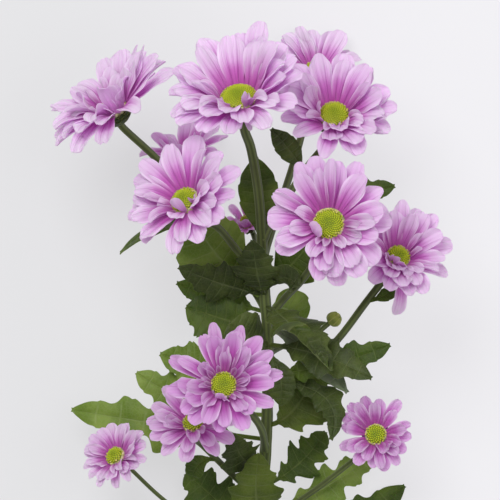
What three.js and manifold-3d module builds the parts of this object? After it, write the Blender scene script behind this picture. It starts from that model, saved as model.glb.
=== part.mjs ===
// A cut spray chrysanthemum, laid down on a table: one green stem that branches into thirteen pink,
// daisy-like blooms with lime green discs, one bud, and lobed leaves all along it.
// Lengths are millimetres and angles degrees. +Y runs up the stem to the blooms, and +Z is up from the table.
import * as THREE from "three";
import { mergeVertices } from "three/addons/utils/BufferGeometryUtils.js";
import Module from "manifold-3d";

const wasm = await Module();
wasm.setup();

// The middle of the flower head, which every place below is measured from, in the part's own frame.
const HEAD_MIDDLE = [-1, 50, 0];

// The main stem: its width at the cut and at the top, and the line of its middle, from the cut upwards.
const STEM_RADIUS = 2.5;
const STEM_TOP_RADIUS = 1.9;
const STEM_SIDES = 8;
const STEM_REST = STEM_RADIUS * Math.cos(Math.PI / STEM_SIDES); // lies on one of its flats
const STEM_LINE = [
  [10, -194, STEM_REST],
  [9, -166, STEM_REST],
  [8, -140, 5],
  [7, -118, 12],
  [6, -98, 22],
  [7, -76, 32],
  [7.5, -56, 40],
  [7.5, -36, 46],
  [6, -16, 50],
  [5, 4, 55],
  [3.5, 24, 62],
  [0.5, 42, 72],
];
const TOP_BLOOM = "02";

const BRANCH_RADIUS = 1.6;
const SLENDER = { "09": 0.85, "10": 0.55, "11": 0.72, "12": 0.85, "13": 0.75 }; // share of that radius
const BRANCH_SIDES = 5;
const RINGS_PER_SPAN = 2;

// The green cup under a bloom, the pink hub that its ray florets grow from, and the dome of disc florets
// on that.
const CUP_SHARE = 1.25; // how deep the cup is, as a share of the disc's radius
const CUP_OVER_DISC = 0.9;
const CUP_SIDES = 10;
const HUB_HEIGHT = 2.3;
const SEAT_GAP = 0.3;
const NECK = 6; // how far below the cup a stem turns to run straight into it
const STEM_IN_CUP = 0.6; // where a stem ends inside the cup, as a share of its depth
const DOME_SHARE = 0.28; // how high the disc's dome is, as a share of its radius
const DOME_EDGE = 0.4;
const KNOB_SHARE = 0.035;
const DOME_RINGS = [1, 0.93, 0.62, 0.26];
const DOME_SIDES = 12;

// Ray florets, in layers from the outermost: length as a share of the bloom's reach, rise above the bloom's
// plane at the root and at the tip, height of the root and its distance outside the disc, half the width in
// a bloom of full size, and the steepest that the root and the tip may rise. Neighbours in a layer rise a
// little more and less than that in turn, so that they overlap.
const LAYERS = [
  {
    share: 1.0, rootRise: 3, tipRise: -8, rootHeight: 0.5, rootOut: 1, halfWidth: 4.3, steepest: [33, 58],
  },
  {
    share: 0.92, rootRise: 27, tipRise: 10, rootHeight: 1.2, rootOut: 0.8, halfWidth: 4.1, steepest: [53, 74],
  },
  {
    share: 0.5, rootRise: 60, tipRise: 60, rootHeight: 1.9, rootOut: 0.45, halfWidth: 2.7, steepest: [70, 90],
  },
];
const FULL_REACH = 27;
const ALTERNATE_RISE = 5;
const ROOT_LEAN = 0.3;
const TIP_LEAN = 1.4;
const RAY_THICKNESS = 0.7;
const RAY_CHANNEL = 0.14; // how far the edges stand above the middle, as a share of the half width
// How much the ray florets of a bloom differ: turn as a share of the step from one to the next, angles in
// degrees, and length as a share of the whole.
const UNEVEN = { turn: 0.06, root: 1, tip: 3, length: 0.06, roll: 6 };
const SEED_OF_BLOOM = 100;
const SEED_OF_LAYER = 31;
// A ray floret's outline: share of its length, and half its width there as a share of the widest.
const RAY_OUTLINE = [
  [0, 0.3],
  [0.45, 0.94],
  [0.88, 0.84],
  [1, 0],
];

// Blooms: the middle of the hub's underside, the way it faces, the reach of its longest rays, the disc's
// radius, how many rays each layer has, how far the bloom has closed, and how far its upper side stands up
// over its lower.
const BLOOM_ROWS = [
  ["01", [-57, 58.2, 72], [-0.58, 0.72, 0.38], 30.5, 6, [12, 12, 8], 18, 10],
  ["02", [-4.6, 62, 90], [-0.15, 0.76, 0.64], 32, 7.9, [14, 12, 4], 32, 20],
  ["03", [-26.3, 19.5, 98], [-0.48, 0.5, 0.72], 27.5, 6, [12, 12, 5], 18, 14],
  ["04", [35.3, 55.6, 68], [0.05, 0.56, 0.83], 28.5, 6.2, [14, 12, 5], 32, 10],
  ["05", [28.4, 74.5, 13.95], [0.2, 0.72, 0.66], 23, 5.6, [12, 10, 5], 10, 12],
  ["06", [33, 10.4, 107], [-0.12, 0.22, 0.97], 27.8, 6.6, [14, 12, 6], 14, 8],
  ["07", [61.7, -3.9, 72], [0.3, 0.5, 0.81], 24.5, 4.9, [12, 12, 4], 32, 10],
  ["08", [-11, -56.8, 94], [0, 0.22, 0.98], 25, 5.4, [12, 11, 8], 22, 2],
  ["09", [-24, -74, 64], [-0.05, 0.5, 0.86], 20.5, 4.2, [12, 10, 4], 14, 6],
  ["10", [-55.9, -88.2, 44], [-0.5, 0.45, 0.74], 16.5, 3.9, [14, 11, 0], 16, 4],
  ["11", [53.4, -78.4, 50], [-0.1, 0.2, 0.97], 17, 4.3, [14, 11, 0], 18, 4],
  ["12", [-28.3, 39.5, 16.1], [-0.3, 0.85, 0.4], 21, 4.2, [12, 8, 5], 12, 12],
  ["13", [-1, 10.8, 17], [-0.3, 0.55, 0.78], 11, 2.6, [10, 0, 0], 52, 0],
];
const BLOOMS = Object.fromEntries(
  BLOOM_ROWS.map(([name, at, faces, reach, disc, rays, close, lean]) => {
    return [name, { at, faces, reach, disc, rays, close, lean }];
  }),
);

// Side stems to the blooms: where each leaves the main stem, counted along STEM_LINE, and the line it
// follows from there.
const BRANCHES = {
  "01": { leaves: 7.9, through: [[-9, 8, 43], [-25, 24, 47], [-41, 40, 57]] },
  "03": { leaves: 8.3, through: [[-3, -3, 62], [-13, 9, 77]] },
  "04": { leaves: 9, through: [[13, 18, 53], [24, 35, 52]] },
  "05": { leaves: 8.6, through: [[12, 17, 36], [20, 42, 15]] },
  "06": { leaves: 7.3, through: [[14, -21, 54], [23, -11, 72]] },
  "07": { leaves: 5.8, through: [[20, -50, 41], [35, -40, 45], [49, -22, 52]] },
  "08": { leaves: 4.6, through: [[4, -74, 48], [-6, -62, 64]] },
  "09": { leaves: 3.5, through: [[-6, -97, 27], [-20, -83, 41]] },
  "10": { leaves: 2.2, through: [[-14, -123, 11], [-36, -107, 21]] },
  "11": { leaves: 2.8, through: [[16, -111, 16], [32, -99, 20], [47, -87, 26]] },
  "12": { leaves: 7.5, through: [[-5, -7, 33], [-15, 12, 14]] },
  "13": { leaves: 7.7, through: [[4, -6, 34]] },
};

// The bud on its own short, thin stem.
const BUD = { at: [33.4, -31.2, 30], faces: [0.75, 0.6, 0.2], radius: 2.9 };
const BUD_STEM = { leaves: 6.6, through: [[16, -40, 34], [27, -36, 30]], radius: 1.1 };

// Leaf outlines: share of the length, and half the width there as a share of the widest.
const LOBED = [
  [0, 0.07],
  [0.16, 0.08],
  [0.26, 0.52],
  [0.34, 0.3],
  [0.5, 1],
  [0.58, 0.5],
  [0.72, 0.82],
  [0.79, 0.42],
  [0.9, 0.36],
  [1, 0],
];
const PLAIN = [
  [0, 0.14],
  [0.14, 0.24],
  [0.38, 0.86],
  [0.62, 1],
  [0.84, 0.58],
  [1, 0],
];
const LEAF_THICKNESS = 0.8;
const LEAF_FOLD = 0.14; // how far the edges stand above the midrib, as a share of the half width
const LEAF_SWEEP = 0.45; // how far the edges run ahead of the midrib, as a share of the half width
const PETIOLE_SHARE = 0.2; // how much of the leaf's length is its stalk
const PETIOLE_RADIUS = 0.9;
const PETIOLE_GAP = 0.65;

// Leaves: the stem each grows from and where on it, the point that its midrib arches towards, its tip, the
// way its upper face looks, its width and its outline.
const LEAVES = [
  ["01", 1.2, [-38, 16, 61], [-55, -1, 46], [-0.5, 0.7, 0.5], 9, PLAIN],
  ["main", 7.9, [-13, -8, 50], [-25, 15, 57], [-0.1, -0.3, 0.95], 24, PLAIN],
  ["main", 8.9, [4, 18, 47], [2.5, 39, 52], [0, -0.2, 1], 17, PLAIN],
  ["04", 1.9, [19, 40, 60], [9, 51, 70], [0.2, -0.4, 0.9], 10, PLAIN],
  ["04", 1.2, [38, 22, 56], [61, 27, 52], [0, 0, 1], 17, LOBED],
  ["main", 7.9, [-10, -16, 57], [-30, -7, 62], [0, -0.4, 0.9], 20, LOBED],
  ["main", 7.1, [-10, -30, 50], [-27, -24, 48], [0, 0.1, 1], 30, LOBED],
  ["main", 6.1, [-16, -52, 44], [-38, -44, 46], [0, 0.1, 1], 26, LOBED],
  ["main", 4.8, [-34, -75, 34], [-76, -68, 20], [0, 0, 1], 27, LOBED],
  ["main", 6.2, [32, -51, 60], [59, -40, 60], [0, 0, 1], 19, LOBED],
  ["main", 6.8, [30, -42, 72], [51, -54, 72], [0.1, 0.3, 0.9], 20, LOBED],
  ["main", 6.05, [42, -58, 54], [34, -80, 56], [0.4, 0.2, 0.9], 15, LOBED],
  ["main", 7.6, [16, -28, 68], [34, -51, 86], [0.3, 0.3, 0.9], 26, LOBED],
  ["main", 7.4, [16, -20, 40], [21, -32, 32], [0, 0, 1], 16, PLAIN],
  ["main", 8.1, [18, -8, 56], [27, 6, 60], [-0.3, 0, 0.95], 18, PLAIN],
  ["main", 7.9, [3, -14, 64], [1, 4, 68], [-0.2, -0.5, 0.8], 17, LOBED],
  ["main", 5.1, [20, -72, 37], [29, -49, 34], [0, 0, 1], 30, LOBED],
  ["main", 3.9, [22, -93, 18], [32, -78, 8], [0, 0, 1], 26, LOBED],
  ["main", 4.4, [-4, -94, 40], [-7, -78, 46], [0, -0.3, 1], 20, LOBED],
  ["main", 2.6, [-16, -104, 20], [-27, -96, 6], [0, 0, 1], 24, LOBED],
  ["main", 1.9, [-20, -134, 12], [-51, -114, 1], [0, 0, 1], 24, LOBED],
  ["main", 3.2, [36, -100, 15], [53, -88, 4], [0, 0, 1], 18, LOBED],
  ["main", 2.4, [34, -126, 16], [66, -101, 1], [0, 0, 1], 24, LOBED],
  ["main", 6.6, [15, -52, 54], [13, -66, 48], [0, 0, 1], 12, PLAIN],
  ["09", 1.6, [-23, -88, 42], [-25, -98, 36], [0, 0, 1], 9, PLAIN],
  ["main", 7.1, [22, -36, 54], [41, -60, 62], [0, 0, 1], 12, PLAIN],
  ["main", 8, [14, -7.5, 66], [20, -15, 75], [0.2, -0.2, 1], 12, PLAIN],
  ["main", 6.8, [2, -40, 60], [-9, -31, 66], [0, 0, 1], 20, LOBED],
  ["main", 7.5, [-10, -22, 36], [-31, -14, 34], [0, 0, 1], 20, LOBED],
  ["07", 3.1, [57, -20, 56], [62.5, -15, 60], [0, 0, 1], 6, PLAIN],
  ["main", 5.3, [-26, -68, 44], [-48, -52, 40], [0, 0, 1], 22, LOBED],
  ["main", 2.7, [0, -104, 36], [4, -86, 44], [0, -0.4, 0.9], 24, LOBED],
];

// Surfaces.
const LAMINA = { roughness: 0.6, metalness: 0 };
const RAY_PINK = new THREE.MeshStandardMaterial({ color: 0xd9a0dc, roughness: 0.55, metalness: 0 });
const DISC_LIME = new THREE.MeshStandardMaterial({ color: 0x9ab824, roughness: 0.7, metalness: 0 });
const STEM_GREEN = new THREE.MeshStandardMaterial({ color: 0x4a5f33, ...LAMINA });
const LEAF_GREEN = new THREE.MeshStandardMaterial({ color: 0x44592f, ...LAMINA });
const BUD_GREEN = new THREE.MeshStandardMaterial({ color: 0x8f9a3a, ...LAMINA });

const vector = (xyz) => new THREE.Vector3(...xyz);
const radians = THREE.MathUtils.degToRad;

// A number from -1 to 1 that is always the same for the same seed.
function scatter(seed) {
  const wave = Math.sin(seed * 12.9898 + 78.233) * 43758.5453;
  return 2 * (wave - Math.floor(wave)) - 1;
}

function solidFrom(positions, triangles) {
  const mesh = new wasm.Mesh({
    numProp: 3,
    vertProperties: new Float32Array(positions),
    triVerts: new Uint32Array(triangles),
  });
  return new wasm.Manifold(mesh);
}

function solidOf(geometry) {
  geometry.deleteAttribute("normal");
  geometry.deleteAttribute("uv");
  const merged = mergeVertices(geometry, 1e-4);
  return solidFrom(merged.attributes.position.array, merged.index.array);
}

const fuse = (solids) => solids.reduce((whole, next) => whole.add(next));

function meshOf(name, solid, material) {
  const { numProp, numVert, vertProperties, triVerts } = solid.getMesh();
  const positions = new Float32Array(numVert * 3);
  for (let i = 0; i < numVert; i++) {
    positions.set(vertProperties.subarray(i * numProp, i * numProp + 3), i * 3);
  }
  const geometry = new THREE.BufferGeometry();
  geometry.setAttribute("position", new THREE.BufferAttribute(positions, 3));
  geometry.setIndex(new THREE.BufferAttribute(triVerts, 1));
  geometry.computeVertexNormals();
  const mesh = new THREE.Mesh(geometry, material);
  mesh.name = name;
  return mesh;
}

// A closed body through rings of points, each counter-clockwise seen from the far end, with a fan over
// both ends.
function tube(rings) {
  const sides = rings[0].length;
  const triangles = [];
  for (let r = 0; r + 1 < rings.length; r++) {
    for (let i = 0; i < sides; i++) {
      const a = r * sides + i;
      const b = r * sides + ((i + 1) % sides);
      triangles.push(a, b, b + sides, a, b + sides, a + sides);
    }
  }
  const last = (rings.length - 1) * sides;
  for (let i = 1; i + 1 < sides; i++) {
    triangles.push(0, i + 1, i, last, last + i, last + i + 1);
  }
  return solidFrom(coordinates(rings.flat()), triangles);
}

// The skin of a thin blade with a ridge along the middle of both faces, as triangles between numbered points.
// Each row has its two edges and the middle of its upper and lower face; both faces are split alike, so they
// can't cross. The root is left open, and the tip is one point.
function bladeSkin(rows, tip) {
  const points = rows.flatMap((row) => [row.right, row.lower, row.left, row.upper]).concat(tip);
  const [RIGHT, LOWER, LEFT, UPPER] = [0, 1, 2, 3];
  const triangles = [];
  for (let at = 0; at + 8 < points.length; at += 4) {
    const next = at + 4;
    for (const [edge, middle] of [[RIGHT, LOWER], [LEFT, LOWER], [LEFT, UPPER], [RIGHT, UPPER]]) {
      const quad = [at + edge, at + middle, next + middle, at + edge, next + middle, next + edge];
      const flipped = (edge === RIGHT) === (middle === UPPER);
      for (const k of flipped ? [0, 2, 1, 3, 5, 4] : [0, 1, 2, 3, 4, 5]) triangles.push(quad[k]);
    }
  }
  const last = points.length - 5;
  for (const [a, b] of [[RIGHT, LOWER], [LOWER, LEFT], [LEFT, UPPER], [UPPER, RIGHT]]) {
    triangles.push(last + a, last + b, last + 4);
  }
  return { points, triangles };
}

const coordinates = (points) => points.flatMap((p) => [p.x, p.y, p.z]);

function blade(rows, tip) {
  const { points, triangles } = bladeSkin(rows, tip);
  return solidFrom(coordinates(points), triangles.concat([0, 3, 1, 3, 2, 1]));
}

// The frame of a bloom: X to its east, Y to its upper side, Z the way it faces.
function bloomMatrix(bloom) {
  const facing = vector(bloom.faces).normalize();
  const east = new THREE.Vector3(0, 1, 0).cross(facing).normalize();
  const upper = facing.clone().cross(east);
  return new THREE.Matrix4().makeBasis(east, upper, facing).setPosition(vector(bloom.at));
}

// The rows and the tip of one ray floret, in its bloom's frame.
function ray(bloom, layer, index, seed) {
  const { share, rootRise, tipRise, rootHeight, rootOut, halfWidth, steepest } = LAYERS[layer];
  const step = (2 * Math.PI) / bloom.rays[layer];
  const turn = step * (index + 0.5 * (layer % 2) + UNEVEN.turn * scatter(seed));
  const lean = bloom.lean * Math.sin(turn);
  const other = index % 2 ? ALTERNATE_RISE : -ALTERNATE_RISE;
  const rootAngle = Math.min(rootRise + bloom.close + ROOT_LEAN * lean, steepest[0]);
  const tipAngle = Math.min(tipRise + bloom.close + TIP_LEAN * lean, steepest[1]);
  const start = radians(rootAngle + other + UNEVEN.root * scatter(seed + 0.1));
  const end = radians(tipAngle + other + UNEVEN.tip * scatter(seed + 0.2));
  const rootRadius = bloom.disc + rootOut;
  const length = (bloom.reach - rootRadius) * share * (1 + UNEVEN.length * scatter(seed + 0.3));
  const roll = radians(UNEVEN.roll * scatter(seed + 0.4));
  const out = new THREE.Vector3(Math.cos(turn), Math.sin(turn), 0);
  const rows = RAY_OUTLINE.map(([v, wide]) => {
    const bend = (end - start) * v;
    const chord = length * v * (bend ? Math.sin(bend / 2) / (bend / 2) : 1);
    const middle = out.clone().multiplyScalar(rootRadius + chord * Math.cos(start + bend / 2));
    middle.z = rootHeight + chord * Math.sin(start + bend / 2);
    const along = out.clone().multiplyScalar(Math.cos(start + bend)).setZ(Math.sin(start + bend));
    const normal = out.clone().multiplyScalar(-Math.sin(start + bend)).setZ(Math.cos(start + bend));
    normal.applyAxisAngle(along, roll * v);
    const side = along.clone().cross(normal);
    const width = halfWidth * (bloom.reach / FULL_REACH) * wide;
    const lift = normal.clone().multiplyScalar(RAY_CHANNEL * width);
    return {
      right: middle.clone().addScaledVector(side, width).add(lift),
      left: middle.clone().addScaledVector(side, -width).add(lift),
      upper: middle.clone().addScaledVector(normal, RAY_THICKNESS / 2),
      lower: middle.clone().addScaledVector(normal, -RAY_THICKNESS / 2),
      middle,
    };
  });
  return { rows: rows.slice(0, -1), tip: rows.at(-1).middle };
}

// Where the points of a rim are round the middle, as angles that never drop, with the first again at the end.
function turnsOf(points, rim) {
  let turn = 0;
  const turns = rim.map((index) => {
    const bare = Math.atan2(points[index].y, points[index].x);
    turn = bare + 2 * Math.PI * Math.round((turn - bare) / (2 * Math.PI));
    return turn;
  });
  return [...turns, turns[0] + 2 * Math.PI];
}

// Closes the skin between two rims of numbered points, the second above the first. Either may be one point.
function band(points, triangles, first, second) {
  const turns = [turnsOf(points, first), turnsOf(points, second)];
  const steps = [first, second].map((rim) => (rim.length > 1 ? rim.length : 0));
  let [a, b] = [0, 0];
  while (a < steps[0] || b < steps[1]) {
    const [lower, upper] = [first[a % first.length], second[b % second.length]];
    if (b === steps[1] || (a < steps[0] && turns[0][a + 1] <= turns[1][b + 1])) {
      a++;
      triangles.push(lower, first[a % first.length], upper);
    } else {
      b++;
      triangles.push(lower, second[b % second.length], upper);
    }
  }
}

// The ray florets of a bloom and the hub that they grow from.
function rays(name, bloom) {
  const points = [new THREE.Vector3(), new THREE.Vector3(0, 0, HUB_HEIGHT)];
  const triangles = [];
  let rim = [0];
  bloom.rays.forEach((count, layer) => {
    if (!count) return;
    const [under, over] = [[], []];
    for (let index = 0; index < count; index++) {
      const seed = SEED_OF_BLOOM * Number(name) + SEED_OF_LAYER * layer + index;
      const { rows, tip } = ray(bloom, layer, index, seed);
      const skin = bladeSkin(rows, tip);
      const [right, lower, left, upper] = [0, 1, 2, 3].map((k) => points.length + k);
      triangles.push(...skin.triangles.map((k) => right + k));
      points.push(...skin.points);
      under.push(right, lower, left);
      over.push(right, upper, left);
    }
    band(points, triangles, rim, under);
    rim = over;
  });
  band(points, triangles, rim, [1]);
  return meshOf(`bloom_${name}_rays`, solidFrom(coordinates(points), triangles), RAY_PINK);
}

// The dome of disc florets: a low dome whose surface is raised and lowered into small knobs.
function disc(name, bloom) {
  const rings = DOME_RINGS.map((share, ring) => {
    const edge = ring === 0 ? 0 : DOME_EDGE + DOME_SHARE * bloom.disc * (1 - share * share);
    const knob = ring === 0 || ring === DOME_RINGS.length - 1 ? 0 : KNOB_SHARE * bloom.disc;
    return Array.from({ length: DOME_SIDES }, (_, i) => {
      const turn = (2 * Math.PI * (i + 0.5 * (ring % 2))) / DOME_SIDES;
      const out = new THREE.Vector3(Math.cos(turn), Math.sin(turn), 0).multiplyScalar(share * bloom.disc);
      return out.setZ(HUB_HEIGHT + SEAT_GAP + edge + (i % 2 ? knob : -knob));
    });
  });
  return meshOf(`bloom_${name}_disc`, tube(rings), DISC_LIME);
}

// A smooth line through points, read by a count along them: 1.5 is half way from the second to the third.
class Line {
  constructor(points) {
    this.spans = points.length - 1;
    this.curve = new THREE.CatmullRomCurve3(points, false, "catmullrom");
  }

  at(count) {
    return this.curve.getPoint(count / this.spans);
  }

  along(count) {
    return this.curve.getTangent(count / this.spans);
  }
}

function stemTube(line, counts, radiusAt, sides) {
  let side = line.along(counts[0]).cross(new THREE.Vector3(0, 0, 1)).normalize();
  const rings = counts.map((count) => {
    const along = line.along(count);
    const up = side.clone().cross(along).normalize();
    side = along.clone().cross(up).normalize();
    const middle = line.at(count);
    const ring = [];
    for (let i = 0; i < sides; i++) {
      const turn = (2 * Math.PI * (i + 0.5)) / sides;
      const point = middle.clone().addScaledVector(side, -radiusAt(count) * Math.cos(turn));
      ring.push(point.addScaledVector(up, radiusAt(count) * Math.sin(turn)));
    }
    return ring;
  });
  return tube(rings);
}

// The last points of a stem that ends in the cup of a bloom or the bud.
function stemEnd(head, depth) {
  const facing = vector(head.faces).normalize();
  return [depth + NECK, STEM_IN_CUP * depth].map((below) => vector(head.at).addScaledVector(facing, -below));
}

const cupDepth = (bloom) => CUP_SHARE * bloom.disc;

// The green cup that closes round the foot of a bloom.
function cup(bloom) {
  const radius = bloom.disc + CUP_OVER_DISC;
  const depth = cupDepth(bloom);
  const profile = [
    [0, -depth],
    [0.3 * radius, -0.94 * depth],
    [0.8 * radius, -0.45 * depth],
    [radius, -SEAT_GAP],
    [0, -SEAT_GAP],
  ];
  const geometry = new THREE.LatheGeometry(profile.map(([r, z]) => new THREE.Vector2(r, z)), CUP_SIDES);
  geometry.rotateX(Math.PI / 2);
  return solidOf(geometry.applyMatrix4(bloomMatrix(bloom)));
}

const topBloom = BLOOMS[TOP_BLOOM];
const mainLine = new Line([...STEM_LINE.map(vector), ...stemEnd(topBloom, cupDepth(topBloom))]);

function mainRadius(count) {
  const share = Math.max(0, count - 1) / (mainLine.spans - 1);
  return THREE.MathUtils.lerp(STEM_RADIUS, STEM_TOP_RADIUS, share);
}

function branchRadius(name) {
  return name === "bud" ? BUD_STEM.radius : BRANCH_RADIUS * (SLENDER[name] ?? 1);
}

const stemLines = { main: mainLine };
for (const [name, { leaves, through }] of Object.entries(BRANCHES)) {
  const end = stemEnd(BLOOMS[name], cupDepth(BLOOMS[name]));
  stemLines[name] = new Line([mainLine.at(leaves), ...through.map(vector), ...end]);
}
stemLines.bud = new Line([mainLine.at(BUD_STEM.leaves), ...BUD_STEM.through.map(vector), vector(BUD.at)]);

// The whole green frame: main stem, side stems and the cups of the blooms, grown as one piece.
function stem() {
  const wholeCounts = (line) => Array.from({ length: line.spans + 1 }, (_, i) => i);
  const solids = [stemTube(mainLine, wholeCounts(mainLine), mainRadius, STEM_SIDES)];
  for (const [name, line] of Object.entries(stemLines)) {
    if (name === "main") continue;
    const steps = line.spans * RINGS_PER_SPAN;
    const counts = Array.from({ length: steps + 1 }, (_, i) => i / RINGS_PER_SPAN);
    const radius = branchRadius(name);
    solids.push(stemTube(line, counts, () => radius, BRANCH_SIDES));
  }
  Object.values(BLOOMS).forEach((bloom) => solids.push(cup(bloom)));
  return meshOf("stem", fuse(solids), STEM_GREEN);
}

function bud() {
  const facing = vector(BUD.faces).normalize();
  const profile = [[0, 0], [0.7, 0.15], [1, 0.8], [0.85, 1.5], [0.4, 2], [0, 2.1]];
  const outline = profile.map(([r, z]) => new THREE.Vector2(BUD.radius * r, BUD.radius * z));
  const geometry = new THREE.LatheGeometry(outline, 8);
  geometry.rotateX(Math.PI / 2);
  const mesh = meshOf("bud", solidOf(geometry), BUD_GREEN);
  mesh.quaternion.setFromUnitVectors(new THREE.Vector3(0, 0, 1), facing);
  mesh.position.copy(vector(BUD.at).addScaledVector(facing, SEAT_GAP));
  return mesh;
}

// One leaf: a folded, arching blade from its petiole on the stem to its tip.
function leaf(name, [on, leaves, via, tip, faces, width, cut]) {
  const axis = stemLines[on].at(leaves);
  const stemRadius = on === "main" ? mainRadius(leaves) : branchRadius(on);
  const along = stemLines[on].along(leaves);
  const away = vector(via).sub(axis).projectOnPlane(along).normalize();
  const base = axis.addScaledVector(away, stemRadius + PETIOLE_GAP);
  const midrib = new THREE.QuadraticBezierCurve3(base, vector(via), vector(tip));
  const rows = cut.map(([v, wide]) => {
    const middle = midrib.getPoint(v);
    const ahead = midrib.getTangent(v);
    const side = ahead.clone().cross(vector(faces)).normalize();
    const normal = side.clone().cross(ahead);
    const half = Math.max((wide * width) / 2, PETIOLE_RADIUS);
    const sweep = ahead.multiplyScalar(v > PETIOLE_SHARE ? LEAF_SWEEP * half : 0);
    const lift = normal.clone().multiplyScalar(LEAF_FOLD * half).add(sweep);
    return {
      right: middle.clone().addScaledVector(side, half).add(lift),
      left: middle.clone().addScaledVector(side, -half).add(lift),
      upper: middle.clone().addScaledVector(normal, LEAF_THICKNESS / 2),
      lower: middle.clone().addScaledVector(normal, -LEAF_THICKNESS / 2),
      middle,
    };
  });
  return meshOf(`leaf_${name}`, blade(rows.slice(0, -1), rows.at(-1).middle), LEAF_GREEN);
}

const spray = new THREE.Group();
spray.position.set(...HEAD_MIDDLE);
spray.add(stem(), bud());
for (const [name, bloom] of Object.entries(BLOOMS)) {
  const head = new THREE.Group();
  head.add(rays(name, bloom), disc(name, bloom));
  bloomMatrix(bloom).decompose(head.position, head.quaternion, head.scale);
  spray.add(head);
}
LEAVES.forEach((row, index) => spray.add(leaf(String(index + 1).padStart(2, "0"), row)));

export default spray;
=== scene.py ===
"""The looks of a cut spray chrysanthemum that lies on a table and is looked down on.

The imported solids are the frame, and the pieces here replace them with finer forms in the same places. Places
and sizes in the tables are millimetres, measured from the middle of the flower head. The meshes are metres.
"""

import logging
import math
from collections.abc import Callable, Iterable
from dataclasses import dataclass, field
from enum import Enum

import bmesh
import bpy
import numpy as np
from bpy.types import ID, Material, Mesh, NodeSocket, Object
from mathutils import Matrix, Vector


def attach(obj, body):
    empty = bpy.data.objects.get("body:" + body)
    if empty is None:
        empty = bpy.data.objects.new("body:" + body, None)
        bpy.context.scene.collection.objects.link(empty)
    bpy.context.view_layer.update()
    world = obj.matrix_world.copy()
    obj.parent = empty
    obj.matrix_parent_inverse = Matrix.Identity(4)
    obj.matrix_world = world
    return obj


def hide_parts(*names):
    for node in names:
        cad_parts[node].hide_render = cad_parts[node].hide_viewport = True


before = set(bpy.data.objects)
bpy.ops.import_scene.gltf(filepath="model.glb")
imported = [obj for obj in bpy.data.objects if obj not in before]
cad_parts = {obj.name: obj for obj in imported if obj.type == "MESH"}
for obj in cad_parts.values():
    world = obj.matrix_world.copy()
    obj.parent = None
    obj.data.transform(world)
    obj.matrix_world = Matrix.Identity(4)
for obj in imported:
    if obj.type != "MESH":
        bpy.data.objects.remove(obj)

logging.basicConfig(level=logging.INFO, format="%(message)s")
log = logging.getLogger("spray")

Point = tuple[float, float, float]
Colour = tuple[float, float, float, float]
Stops = tuple[tuple[float, float], ...]

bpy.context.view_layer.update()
MM = 0.001
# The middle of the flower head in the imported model, on the table and in millimetres
HEAD_MIDDLE = np.array([-1.0, 50.0, 0.0])
BODY = "root"
UV_NAME = "skin"
GOLDEN_ANGLE = math.radians(137.508)


def linear(share: float) -> float:
    """A colour channel from 0 to 1, with the screen's curve taken off."""
    return share / 12.92 if share <= 0.04045 else ((share + 0.055) / 1.055) ** 2.4


def paint(red: int, green: int, blue: int) -> Colour:
    """A colour as seen on a screen, 0 to 255 a channel, as the light that a shader reflects."""
    return (linear(red / 255), linear(green / 255), linear(blue / 255), 1.0)


def scatter(seed: float) -> float:
    """A number from -1 to 1 that is always the same for the same seed."""
    wave = math.sin(seed * 12.9898 + 78.233) * 43758.5453
    return 2 * (wave - math.floor(wave)) - 1


def unit(vector: np.ndarray) -> np.ndarray:
    """The same way as a vector or as each row of vectors, with length 1."""
    return vector / np.linalg.norm(vector, axis=-1, keepdims=True)


def eased(stops: Iterable[tuple[float, float]], where: np.ndarray) -> np.ndarray:
    """Reads a profile through a few stops, rounded at each stop.

    Args:
        stops: Pairs of place and value, with the places rising.
        where: The places to read.

    Returns:
        The value at each place.
    """
    places, values = (np.array(column, float) for column in zip(*stops))
    where = np.clip(where, places[0], places[-1])
    widths = np.diff(places)
    steps = np.diff(values) / widths
    slopes = np.concatenate([steps[:1], np.zeros(len(steps) - 1), steps[-1:]])
    before, after = steps[:-1], steps[1:]
    same_way = before * after > 0
    slopes[1:-1][same_way] = (2 * before * after)[same_way] / (before + after)[same_way]
    span = np.clip(np.searchsorted(places, where, side="right") - 1, 0, len(widths) - 1)
    width, step = widths[span], values[span + 1] - values[span]
    t = (where - places[span]) / width
    leave, arrive = slopes[span] * width, slopes[span + 1] * width
    bend = 3 * step - 2 * leave - arrive
    turn = leave + arrive - 2 * step
    return values[span] + leave * t + bend * t**2 + turn * t**3


# The spray's plan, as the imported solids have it

CUP_SHARE = 1.25
CUP_OVER_DISC = 0.9
NECK = 6
SHORT_NECKS = {"01": 1.5}
STEM_IN_CUP = 0.6
HUB_HEIGHT = 2.3
SEAT_GAP = 0.3
DOME_EDGE = 0.4
DOME_SHARE = 0.28


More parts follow.
